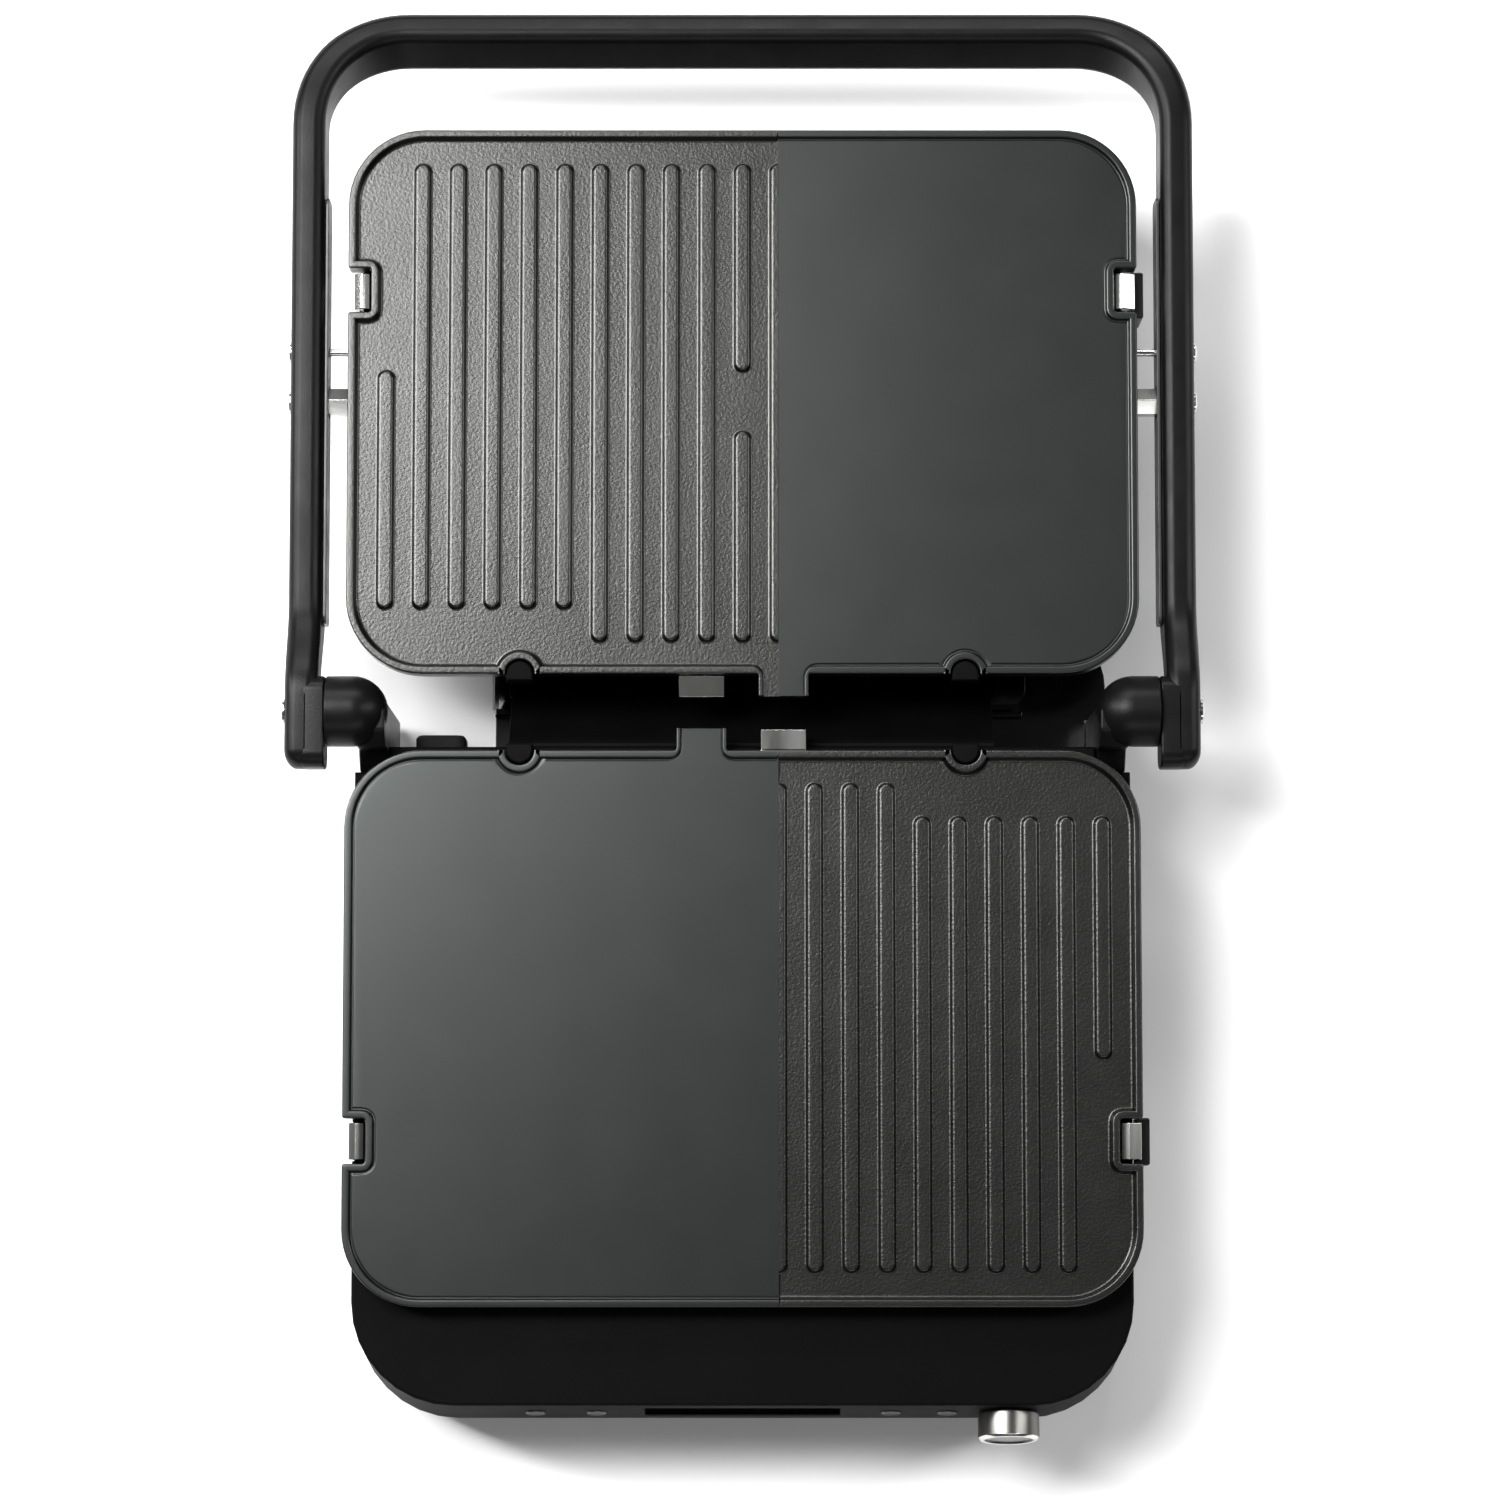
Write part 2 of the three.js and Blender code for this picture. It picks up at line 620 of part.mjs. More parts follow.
function encoder() {
  const body = box(-7, 7, -7, 7, -13, -5.5);
  const mesh = piece('encoder', matteBlack, cut(body, rod('z', 3.3, -12, -5, [0, 0], 16)));
  mesh.position.x = KNOB_X;
  return mesh;
}

function knobShaft() {
  const { radius, back, front } = KNOB_SHAFT;
  const mesh = piece('knob_shaft', steel, rod('z', radius, back, front, [0, 0], 16));
  mesh.position.x = KNOB_X;
  return mesh;
}

function knob() {
  const { radius, back, front } = KNOB;
  const bore = KNOB_SHAFT.radius + 0.25;
  const depth = KNOB_SHAFT.front + 0.4;
  const points = [
    [0, depth], [bore, depth], [bore, back], [radius - 0.6, back], [radius, back + 0.6],
    [radius, front - 1], [radius - 0.9, front], [radius - 2.4, front],
    [radius - 2.7, front - 0.8], [0, front - 0.8],
  ];
  const mesh = piece('knob', knobMetal, turned(points, 32));
  mesh.position.x = KNOB_X;
  return mesh;
}

function controls() {
  const group = new THREE.Group();
  group.applyMatrix4(panelMatrix);
  group.add(displayWindow(), controlBoard(), encoder(), knobShaft(), knob());
  for (const [name, x] of Object.entries(BUTTONS)) group.add(panelButton(name, x));
  return group;
}

// ------------------------------------------------------- hinge posts and rear

function hingeBody() {
  const { radius, tip, face } = BOSS;
  const round = [];
  for (let i = 0; i <= 5; i += 1) {
    const angle = (Math.PI / 2) * (i / 5);
    round.push([radius * Math.sin(angle), tip + radius * (1 - Math.cos(angle))]);
  }
  const boss = turned([...round, [radius, face], [0, face]], 24);
  const along = new THREE.Matrix4().makeRotationY(Math.PI / 2).setPosition(0, 0, AXIS_Z);
  const profile = new THREE.Shape();
  profile.moveTo(POST.foot, BASE.bottom);
  profile.lineTo(POST.back, BASE.bottom);
  profile.lineTo(POST.back, AXIS_Z + 2);
  profile.lineTo(0, AXIS_Z + 7);
  profile.lineTo(POST.front + 6, AXIS_Z + 7);
  profile.lineTo(POST.front, AXIS_Z);
  profile.lineTo(POST.front, PLATE.bottom);
  profile.lineTo(POST.foot, PLATE.bottom - 6);
  const post = lying('x', profile, POST.inner, POST.outer);
  const bore = rod('x', PIVOT_R + 0.2, 148, face + 1, [0, AXIS_Z], 20);
  return cut(join(moved(boss, along), post), bore);
}

function cordGland() {
  const { x, z, width, height, back, bore } = GLAND;
  const block = lying('y', roundedRect(width, height, 4, x, z), BASE.rear + GAP, back, 1);
  const hole = rod('y', bore, back - 6, back + 4, [x, z], 16);
  return piece('cord_gland', rubber, cut(block, hole));
}

function trayCarrier() {
  const { left, right, back, low, high, corner } = SHELF;
  const wallBack = BASE.rear + GAP;
  const floor = new THREE.Shape();
  floor.moveTo(left, wallBack);
  floor.lineTo(POST.inner - GAP, wallBack);
  floor.lineTo(POST.inner - GAP, POST.back + GAP);
  floor.lineTo(right, POST.back + GAP);
  floor.absarc(right - corner, back - corner, corner, 0, Math.PI / 2);
  floor.lineTo(left, back);
  const end = new THREE.Shape();
  const thick = TRAY.left - GAP - left;
  end.moveTo(left, high - 1);
  end.lineTo(left + thick, high - 1);
  end.absarc(left + thick / 2, 35, thick / 2, 0, Math.PI);
  const lip = box(left, TRAY.right + 6, TRAY.back + GAP, back, high - 1, high + 5);
  const guide = box(left, TRAY.right, TRAY.front - 2.5, TRAY.front - GAP, high - 1, high + 5);
  const body = join(prism(floor, low, high), lying('y', end, 6, back), lip, guide);
  return piece('tray_carrier', glossBlack, body);
}

function dripTray() {
  const { left, right, front, back, low, top, wall } = TRAY;
  const [width, depth] = [right - left, back - front];
  const middle = [(left + right) / 2, (front + back) / 2];
  const block = prism(roundedRect(width, depth, 6, ...middle), low, top);
  const grip = { left: right - 12, right: right - wall };
  const hollow = (from, to) => {
    const shape = roundedRect(to - from, depth - 2 * wall, 4.4, (from + to) / 2, middle[1]);
    return prism(shape, low + wall, top + 1);
  };
  const divider = { left: 13, right: 17 };
  const pocket = roundedRect(8, 16, 2.5, (grip.left + grip.right) / 2 + 0.2, middle[1]);
  const shelf = box(divider.left - 1, divider.right + 1, front, back, top - 2, top + 1);
  const body = cut(
    block,
    hollow(left + wall, divider.left),
    hollow(divider.right, grip.left),
    prism(pocket, 20, top + 1),
    shelf.intersect(hollow(left + wall, grip.left)),
  );
  return piece('drip_tray', glossBlack, body);
}

// The sloped ledge that leads fat from the lower spout into the tray.
function dripChute() {
  const back = BASE.rear + GAP;
  const sheet = polygon([[back, 64], [back, 61], [10, 37.4], [11, 39.4], [back + 1.4, 64]]);
  return piece('drip_chute', matteBlack, lying('x', sheet, TRAY.left + 1.5, TRAY.right - 14));
}

// -------------------------------------------------------------------- handle

function handleLoop() {
  const { inner, outer, bottom, top } = ARM;
  const start = 40;
  const shape = new THREE.Shape();
  const big = HANDLE_CORNER;
  const small = big - (outer - inner);
  shape.moveTo(outer, start);
  shape.lineTo(outer, BAR.outer - big);
  shape.absarc(outer - big, BAR.outer - big, big, 0, Math.PI / 2);
  shape.absarc(-outer + big, BAR.outer - big, big, Math.PI / 2, Math.PI);
  shape.lineTo(-outer, start);
  shape.lineTo(-inner, start);
  shape.absarc(-inner + small, BAR.inner - small, small, Math.PI, Math.PI / 2, true);
  shape.absarc(inner - small, BAR.inner - small, small, Math.PI / 2, 0, true);
  shape.lineTo(inner, start);
  return bentDown(prism(shape, bottom, top, HANDLE_EDGE, 2), BAR.outer - big, BAR.inner);
}

// Bends a level loop down in an even curve from one y to another, and straight on.
function bentDown(body, from, to) {
  const geometry = surface(body);
  const position = geometry.getAttribute('position');
  const middle = (ARM.bottom + ARM.top) / 2;
  const radius = (to - from) / BAR_LEAN;
  for (let i = 0; i < position.count; i += 1) {
    const past = position.getY(i) - from;
    if (past > 0) {
      const angle = BAR_LEAN * Math.min(past / (to - from), 1);
      const straight = Math.max(past - (to - from), 0);
      const off = position.getZ(i) - middle + radius;
      position.setY(i, from + straight * Math.cos(angle) + off * Math.sin(angle));
      position.setZ(i, middle - radius - straight * Math.sin(angle) + off * Math.cos(angle));
    }
  }
  return solid(geometry);
}

// The arm's end, cranked up to the hinge line.
function armEnd() {
  const { y, low, high, corner } = ARM_END;
  const { from, to, pull, root } = CRANK;
  const side = new THREE.Shape();
  side.moveTo(y + corner, low);
  side.lineTo(from, low);
  side.bezierCurveTo(from + pull, low, to - pull, ARM.bottom, to, ARM.bottom);
  side.lineTo(root, ARM.bottom);
  side.lineTo(root, ARM.top);
  side.lineTo(to, ARM.top);
  side.bezierCurveTo(to - pull, ARM.top, from + pull, high, from, high);
  side.lineTo(y + corner, high);
  side.absarc(y + corner, high - corner, corner, Math.PI / 2, Math.PI);
  side.absarc(y + corner, low + corner, corner, Math.PI, 1.5 * Math.PI);
  return lying('x', side, ARM.inner, ARM.outer, HANDLE_EDGE, 2);
}

function pivotPad() {
  const { y, low, high, inner } = ARM_END;
  const { back, corner, depth } = PIVOT_PAD;
  const shape = roundedRect(back - y, high - low, corner, (back + y) / 2, AXIS_Z);
  return lying('x', shape, inner, ARM.inner + depth, 2);
}

function handle() {
  const right = join(armEnd(), pivotPad());
  const holes = [
    [0, AXIS_Z, HINGE_SCREW.radius],
    [FLOAT_Y, PIN_Z, FLOAT_PIN.radius],
    [LIMIT_Y, PIN_Z, LIMIT_PIN.radius],
  ];
  const bores = holes.flatMap(([y, z, radius]) => [-1, 1].map((side) => {
    const x = side * (ARM.inner + ARM.outer) / 2;
    return rod('x', radius + BORE_GAP, x - 20, x + 20, [y, z], 16);
  }));
  const body = cut(join(handleLoop(), right, mirrored(right)), ...bores);
  return piece('handle', satinBlack, body);
}

function armLiner() {
  const { from, to, low, high, thickness } = LINER;
  const strip = roundedRect(to - from, high - low, 3, (from + to) / 2, (low + high) / 2);
  const x = ARM.inner - GAP;
  const body = lying('x', strip, x - thickness, x);
  return cut(
    body,
    rod('x', 6.6, x - 5, x + 5, [FLOAT_Y, PIN_Z], 12),
    rod('x', 2.3, x - 5, x + 5, [LIMIT_Y, PIN_Z], 8),
  );
}

// A screw or pin along X through the arm, with a domed head on the arm's outer face.
function headedPin({ radius, inner, head, sides }, y, z) {
  const face = ARM.outer + 0.1;
  const dome = turned([
    [0, face], [head, face], [head, face + 0.7], [head * 0.7, face + 1.6], [0, face + 2],
  ], 14);
  const along = new THREE.Matrix4().makeRotationY(Math.PI / 2).setPosition(0, y, z);
  return join(moved(dome, along), rod('x', radius, inner, face + 0.4, [y, z], sides));
}

function hingeScrew() {
  return headedPin(HINGE_SCREW, 0, AXIS_Z);
}

function floatPin() {
  const from = PLATE.width / 2 + GAP;
  const spacer = rod('x', FLOAT_PIN.hexagon, from, ARM.inner - GAP, [FLOAT_Y, PIN_Z], 6);
  return join(headedPin(FLOAT_PIN, FLOAT_Y, PIN_Z), spacer);
}

function limitPin() {
  return headedPin(LIMIT_PIN, LIMIT_Y, PIN_Z);
}

// ------------------------------------------------------------- upper housing

const toLid = new THREE.Matrix4().makeRotationZ(Math.PI);

function lidOutline(inset = 0) {
  const { half, near, far, corner } = LID;
  return roundedRect(
    2 * (half - inset), far - near - 2 * inset, corner - inset, 0, (near + far) / 2,
  );
}

function upperFrame() {
  const outside = prism(lidOutline(), LID.seam, LID.top, 0.8);
  const inside = prism(lidOutline(WALL), LID.seam - 1, LID.top - DECK_T);
  const blocks = [-1, 1].map((side) => {
    const [a, b] = side > 0 ? [141, LID.half - 0.5] : [-LID.half + 0.5, -141];
    return box(a, b, FLOAT_Y - 6, LIMIT_Y + 6, LID.seam, LID.top - DECK_T + 0.5);
  });
  const pinBores = [-1, 1].flatMap((side) => {
    const [a, b] = side > 0 ? [142, 156] : [-156, -142];
    const slot = box(a + side, b + side, LIMIT_Y - 1.9, LIMIT_Y + 1.9, PIN_Z - 5, PIN_Z + 1.8);
    return [rod('x', 2.7, a, b, [FLOAT_Y, PIN_Z], 16), slot];
  });
  const spin = (body) => moved(body, toLid);
  // The moving latch is on the right on both housings, so it isn't turned with the plate.
  const across = (body) => mirrored(spin(body));
  const { window, bore } = rockerWindow(LID.half, LID.top - DECK_T);
  const frame = join(cut(outside, inside), ...blocks, ...rockerEars(LID.half).map(across));
  const body = cut(
    frame, ...pinBores, spin(wellCutter()), across(window), across(bore),
    across(fixedTongueSlot()),
  );
  return piece('upper_frame', matteBlack, body);
}

function coverProfile(inset, top) {
  const { near, far, bottom } = LID;
  const side = new THREE.Shape();
  side.moveTo(near, top);
  side.lineTo(near, LID.seam - 1 + inset);
  side.lineTo(40, 52 + inset);
  side.lineTo(68 + inset * 0.6, 17 + inset);
  side.bezierCurveTo(75, 8 + inset, 78, bottom + inset, 88, bottom + inset);
  side.lineTo(192, bottom + inset);
  side.bezierCurveTo(214, bottom + inset, far, 14 + inset, far, 34);
  side.lineTo(far, top);
  return side;
}

function upperCover() {
  const top = LID.seam - GAP;
  const outside = lying('x', coverProfile(0, top), -LID.half, LID.half)
    .intersect(prism(lidOutline(), 0, top));
  const inside = lying('x', coverProfile(WALL, top + 5), -LID.half, LID.half)
    .intersect(prism(lidOutline(WALL), 0, top + 4));
  return piece('upper_cover', satinBlack, cut(outside, inside));
}

function restPad(side) {
  const shape = roundedRect(PAD.width, PAD.length, 4, side * PAD.x, PAD.y);
  return prism(shape, 0, LID.bottom - GAP, 1);
}

// ------------------------------------------------------------------ assembly

function pair(name, material, body) {
  return [piece(`${name}_right`, material, body), piece(`${name}_left`, material, mirrored(body))];
}

// The pieces that both housings hold. place puts a body made for the base where
// it belongs; across does the same but keeps the latch on the same hand.
function plateFittings(prefix, split, place, across) {
  const put = (name, material, body) => piece(`${prefix}_${name}`, material, body);
  return [
    put('plate', castPlate, place(plateBody(split))),
    put('reflector', aluminiumSheet, place(reflectorBody())),
    put('heater', heaterSheath, place(heaterBody())),
    put('probe', aluminiumSheet, place(probeBody())),
    put('hook_left', matteBlack, across(hookBody(-1))),
    put('hook_right', matteBlack, across(hookBody(1))),
    put('spring_clip', steel, place(springClipBody())),
    put('fixed_tongue', steel, across(fixedTongueBody())),
    put('latch_tongue', steel, across(latchTongueBody())),
    put('release_button', satinBlack, across(releaseButtonBody())),
    put('latch_pin', steel, across(latchPinBody())),
    put('latch_spring', steel, across(latchSpringBody())),
  ];
}

function assembleBase() {
  const keep = (body) => body;
  return [
    baseShell(),
    baseBottom(),
    baseDeck(),
    frontPanel(),
    controls(),
    ...Object.keys(FOOT_SPOTS).map(foot),
    ...plateFittings('lower', SPLIT_X, keep, keep),
    ...pair('hinge_post', satinBlack, hingeBody()),
    cordGland(),
    trayCarrier(),
    dripTray(),
    dripChute(),
  ];
}

function assembleHandle() {
  return [
    handle(),
    ...pair('arm_liner', liningGrey, armLiner()),
    ...pair('hinge_screw', steel, hingeScrew()),
    ...pair('float_pin', steel, floatPin()),
    ...pair('limit_pin', steel, limitPin()),
  ];
}

function assembleLid() {
  const turn = (body) => moved(body, toLid);
  return [
    upperFrame(),
    upperCover(),
    ...plateFittings('upper', -SPLIT_X, turn, (body) => mirrored(turn(body))),
    piece('rest_pad_left', rubber, restPad(-1)),
    piece('rest_pad_right', rubber, restPad(1)),
  ];
}

const press = new THREE.Group();
press.add(...assembleBase(), ...assembleHandle(), ...assembleLid());

// The origin is on the table, under the middle of the open press.
press.position.y = HINGE_LINE_Y;

export default press;
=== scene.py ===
"""Looks of the flat-opening panini press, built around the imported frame.

Outlines are worked out in millimetres and become metres when a mesh is made.
The plates and the handle are drawn with the hinge line along X at y = 0.
"""

import json
import math

import bmesh
import bpy
from mathutils import Matrix, Vector

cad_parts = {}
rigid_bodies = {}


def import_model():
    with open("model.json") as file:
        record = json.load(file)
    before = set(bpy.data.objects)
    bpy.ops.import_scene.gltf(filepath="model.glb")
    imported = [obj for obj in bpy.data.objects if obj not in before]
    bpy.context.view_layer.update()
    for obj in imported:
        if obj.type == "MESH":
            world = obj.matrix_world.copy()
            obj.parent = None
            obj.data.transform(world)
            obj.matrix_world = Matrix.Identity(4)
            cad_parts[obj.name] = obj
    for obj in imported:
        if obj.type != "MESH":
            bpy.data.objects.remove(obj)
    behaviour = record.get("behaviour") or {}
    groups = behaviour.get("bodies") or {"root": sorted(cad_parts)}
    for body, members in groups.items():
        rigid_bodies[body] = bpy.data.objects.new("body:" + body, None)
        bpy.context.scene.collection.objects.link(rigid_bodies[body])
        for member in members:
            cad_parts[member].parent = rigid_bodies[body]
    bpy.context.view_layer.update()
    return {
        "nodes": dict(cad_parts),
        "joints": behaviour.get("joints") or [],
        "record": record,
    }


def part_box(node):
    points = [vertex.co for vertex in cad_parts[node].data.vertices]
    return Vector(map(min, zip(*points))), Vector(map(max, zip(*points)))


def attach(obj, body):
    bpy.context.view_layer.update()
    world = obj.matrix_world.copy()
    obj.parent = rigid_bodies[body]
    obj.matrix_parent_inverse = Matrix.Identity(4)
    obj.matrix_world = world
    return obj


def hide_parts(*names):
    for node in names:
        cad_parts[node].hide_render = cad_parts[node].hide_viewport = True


for stray in list(bpy.data.objects):
    bpy.data.objects.remove(stray)

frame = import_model()

MM = 0.001
HINGE = next(joint for joint in frame["joints"] if joint["name"] == "lid_hinge")["pos_m"]
HINGE_Y, AXIS_Z = HINGE[1] / MM, HINGE[2] / MM
TO_ROW = Matrix.Translation((0, HINGE_Y, 0))
TO_LID = TO_ROW @ Matrix.Rotation(math.pi, 4, "Z")
ALONG_X = Matrix(((0, 0, 1, 0), (1, 0, 0, 0), (0, 1, 0, 0), (0, 0, 0, 1)))


def span(node):
    """A node's lowest and highest corners, in millimetres."""
    low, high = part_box(node)
    return low / MM, high / MM


def to_side(side):
    """Shapes are drawn for the right side; the left side mirrors them."""
    return Matrix.Scale(-1, 4, (1, 0, 0)) if side == "left" else Matrix.Identity(4)


# ------------------------------------------------------------------ materials

NOISE_ROUGHNESS = 0.55
MOTTLE_SCALE, WANDER_SCALE = 28.0, 60.0


def nodes_of(material):
    material.use_nodes = True
    tree = material.node_tree
    return tree, tree.nodes["Principled BSDF"]


def object_noise(tree, scale, detail, stretch):
    coordinates = tree.nodes.new("ShaderNodeTexCoord")
    mapping = tree.nodes.new("ShaderNodeMapping")
    noise = tree.nodes.new("ShaderNodeTexNoise")
    mapping.inputs["Scale"].default_value = stretch
    noise.inputs["Scale"].default_value = scale
    noise.inputs["Detail"].default_value = detail
    noise.inputs["Roughness"].default_value = NOISE_ROUGHNESS
    tree.links.new(coordinates.outputs["Object"], mapping.inputs["Vector"])
    tree.links.new(mapping.outputs["Vector"], noise.inputs["Vector"])
    return noise.outputs["Fac"]


def ramp(tree, source, low, high, start=0.35, end=0.65):
    blend = tree.nodes.new("ShaderNodeValToRGB")
    blend.color_ramp.elements[0].position = start
    blend.color_ramp.elements[1].position = end
    blend.color_ramp.elements[0].color = low
    blend.color_ramp.elements[1].color = high
    tree.links.new(source, blend.inputs["Fac"])
    return blend.outputs["Color"]


def shade(colour, factor):
    return (*[channel * factor for channel in colour], 1.0)


def grey(value):
    return (value, value, value, 1.0)


def surface(name, colour, roughness, metallic=0.0, grain=0.35, size=0.8, mottle=0.12,
            wander=0.05, stretch=(1, 1, 1), fine=None, specular=0.5, edge=1.0):
    """A procedural finish. size is the grain's spacing in millimetres, grain its height
    in hundredths of a millimetre, and mottle and wander vary colour and roughness. fine
    adds a second grain, as (spacing, height), and edge darkens the grazing reflection."""
    material = bpy.data.materials.new(name)
    tree, shader = nodes_of(material)
    shader.inputs["Metallic"].default_value = metallic
    shader.inputs["Specular IOR Level"].default_value = specular
    shader.inputs["Specular Tint"].default_value = grey(edge)
    broad = object_noise(tree, MOTTLE_SCALE, 3.0, stretch)
    tint = ramp(tree, broad, shade(colour, 1 - mottle), shade(colour, 1 + mottle))
    tree.links.new(tint, shader.inputs["Base Color"])
    spread = ramp(tree, object_noise(tree, WANDER_SCALE, 5.0, stretch),
                  grey(roughness - wander), grey(roughness + wander), 0.3, 0.7)
    tree.links.new(spread, shader.inputs["Roughness"])
    height = object_noise(tree, 1 / (size * MM), 3.0, stretch)
    bump = tree.nodes.new("ShaderNodeBump")
    bump.inputs["Strength"].default_value = 1.0
    bump.inputs["Distance"].default_value = grain * 0.01 * MM
    tree.links.new(height, bump.inputs["Height"])
    last = bump
    if fine:
        second = tree.nodes.new("ShaderNodeBump")
        second.inputs["Distance"].default_value = fine[1] * 0.01 * MM
        tree.links.new(object_noise(tree, 1 / (fine[0] * MM), 2.0, stretch), second.inputs["Height"])
        tree.links.new(bump.outputs["Normal"], second.inputs["Normal"])
        last = second
    tree.links.new(last.outputs["Normal"], shader.inputs["Normal"])
    return material


RIBBED = surface("ribbed_coating", (0.047, 0.047, 0.0456), 0.31, 0.97, grain=11, size=1.2,
                 mottle=0.03, wander=0.015, fine=(0.7, 2.5))
SMOOTH = surface("smooth_coating", (0.0410, 0.0437, 0.0420), 0.33, 0.97, grain=0.9, size=0.7,
                 mottle=0.02, wander=0.008)
CASTING = surface("satin_black_paint", (0.0022, 0.0022, 0.0022), 0.38, 0.0, grain=5.0, size=0.8,
                  mottle=0.10, specular=0.14)
HOUSING = surface("matte_black_plastic", (0.0010, 0.0010, 0.0010), 0.60, 0.0, grain=1.8, size=0.6,
                  mottle=0.15, specular=0.05)
COVER = surface("satin_black_plastic", (0.003, 0.003, 0.003), 0.45, 0.0, grain=1.2, size=0.5,
                specular=0.2)
GLOSS = surface("gloss_black_plastic", (0.0020, 0.0020, 0.0022), 0.14, 0.0, grain=0.15, size=2.0,
                wander=0.03, mottle=0.2, specular=0.5)
BUTTON = surface("button_plastic", (0.004, 0.004, 0.004), 0.34, 0.0, grain=0.6, size=0.5,
                 specular=0.35)
PANEL = surface("dark_panel_metal", (0.11, 0.11, 0.11), 0.40, 0.97, grain=1.0, size=0.35,
                stretch=(0.05, 1, 1), mottle=0.08, specular=0.1, edge=0.16)
KEY = surface("key_metal", (0.16, 0.16, 0.16), 0.38, 0.95, grain=0.5, size=0.3, edge=0.35)
KNOB = surface("brushed_knob_metal", (0.13, 0.127, 0.12), 0.30, 1.0, grain=1.1, size=0.25,
               stretch=(1, 0.05, 1), mottle=0.08)
KNOB_RING = surface("polished_knob_ring", (0.60, 0.59, 0.57), 0.14, 1.0, grain=0.1, size=0.4,
                    wander=0.03)
WINDOW = surface("window_black", (0.012, 0.012, 0.0125), 0.12, 1.0, grain=0.05, size=3.0,
                 wander=0.02, edge=0.03)
STEEL = surface("bright_steel", (0.50, 0.50, 0.49), 0.20, 1.0, grain=0.7, size=0.22,
                stretch=(1, 0.06, 1), mottle=0.06)
SHEET = surface("aluminium_sheet", (0.56, 0.57, 0.58), 0.30, 1.0, grain=1.0, size=0.5,
                stretch=(0.08, 1, 1))
SHEATH = surface("heater_sheath", (0.12, 0.105, 0.09), 0.48, 0.8, grain=1.5, size=0.8, mottle=0.3)
RUBBER = surface("rubber", (0.008, 0.008, 0.008), 0.78, 0.0, grain=2.5, size=0.5, specular=0.3)
BOARD = surface("board_green", (0.010, 0.075, 0.028), 0.42, 0.0, grain=1.0, size=1.2, mottle=0.25)
LINER = surface("liner_grey", (0.030, 0.030, 0.031), 0.34, 0.1, grain=0.8, size=0.5)

SLOT_OF = {
    "cast_plate": RIBBED, "housing_black": HOUSING, "cover_black": COVER, "gloss_black": GLOSS,
    "casting_black": CASTING, "button_black": BUTTON, "panel_metal": PANEL, "key_metal": KEY,
    "knob_metal": KNOB, "window_black": WINDOW, "steel": STEEL, "sheet_aluminium": SHEET,
    "heater_sheath": SHEATH, "rubber": RUBBER, "board_green": BOARD, "liner_grey": LINER,
}
NODE_SLOT = {part["node"]: part["material_slot"] for part in frame["record"]["subparts"]}
NODE_BODY = {
    node: body for body, members in frame["record"]["behaviour"]["bodies"].items() for node in members
}


# ------------------------------------------------------------- mesh building

SAME_POINT, WELD_DRAWN = 1e-6, 1e-4  # millimetres
STRAIGHT = 1e-4
LEAST_RADIUS = 0.25


def offset_corner(before, corner, after, inset, factors):
    """Where the two edges at a corner meet once each has moved inwards."""
    x, y = corner[0], corner[1]
    into = Vector((x - before[0], y - before[1])).normalized()
    out = Vector((after[0] - x, after[1] - y)).normalized()
    a, b = inset * factors[0], inset * factors[1]
    turn = into.x * out.y - into.y * out.x
    if abs(turn) < STRAIGHT:
        return Vector((x - into.y * a, y + into.x * a)), into, out, 0.0
    first = Vector((-into.y, into.x)) * a
    second = Vector((-out.y, out.x)) * b
    along = ((second - first).x * out.y - (second - first).y * out.x) / turn
    return Vector((x, y)) + first + into * along, into, out, turn


def outline(corners, inset=0.0):
    """A closed outline from (x, y, radius, steps, edge_factor) corners, anticlockwise.
    The edge factor scales how far the edge after that corner moves inwards."""
    points = []
    for i, corner in enumerate(corners):
        before, after = corners[i - 1], corners[(i + 1) % len(corners)]
        factors = (before[4], corner[4])
        place, into, out, turn = offset_corner(before, corner, after, inset, factors)
        radius, steps = corner[2], corner[3]
        if radius > 0 and abs(turn) > STRAIGHT:
            radius = max(radius - inset, LEAST_RADIUS) if turn > 0 else radius + inset
        if steps < 2 or abs(turn) < STRAIGHT:
            points.extend([(place.x, place.y)] * max(steps, 1))
            continue
        angle = math.atan2(turn, into.dot(out))
        reach = radius * math.tan(abs(angle) / 2)
        start = place - into * reach
        side = 1 if turn > 0 else -1
        centre = start + Vector((-into.y, into.x)) * radius * side
        arm = start - centre
        for step in range(steps):
            part = angle * step / (steps - 1)
            cos, sin = math.cos(part), math.sin(part)
            points.append((centre.x + arm.x * cos - arm.y * sin, centre.y + arm.x * sin + arm.y * cos))
    return points


def rectangle(x0, x1, y0, y1, radius, steps=8):
    return [(x0, y0, radius, steps, 1), (x1, y0, radius, steps, 1),
            (x1, y1, radius, steps, 1), (x0, y1, radius, steps, 1)]


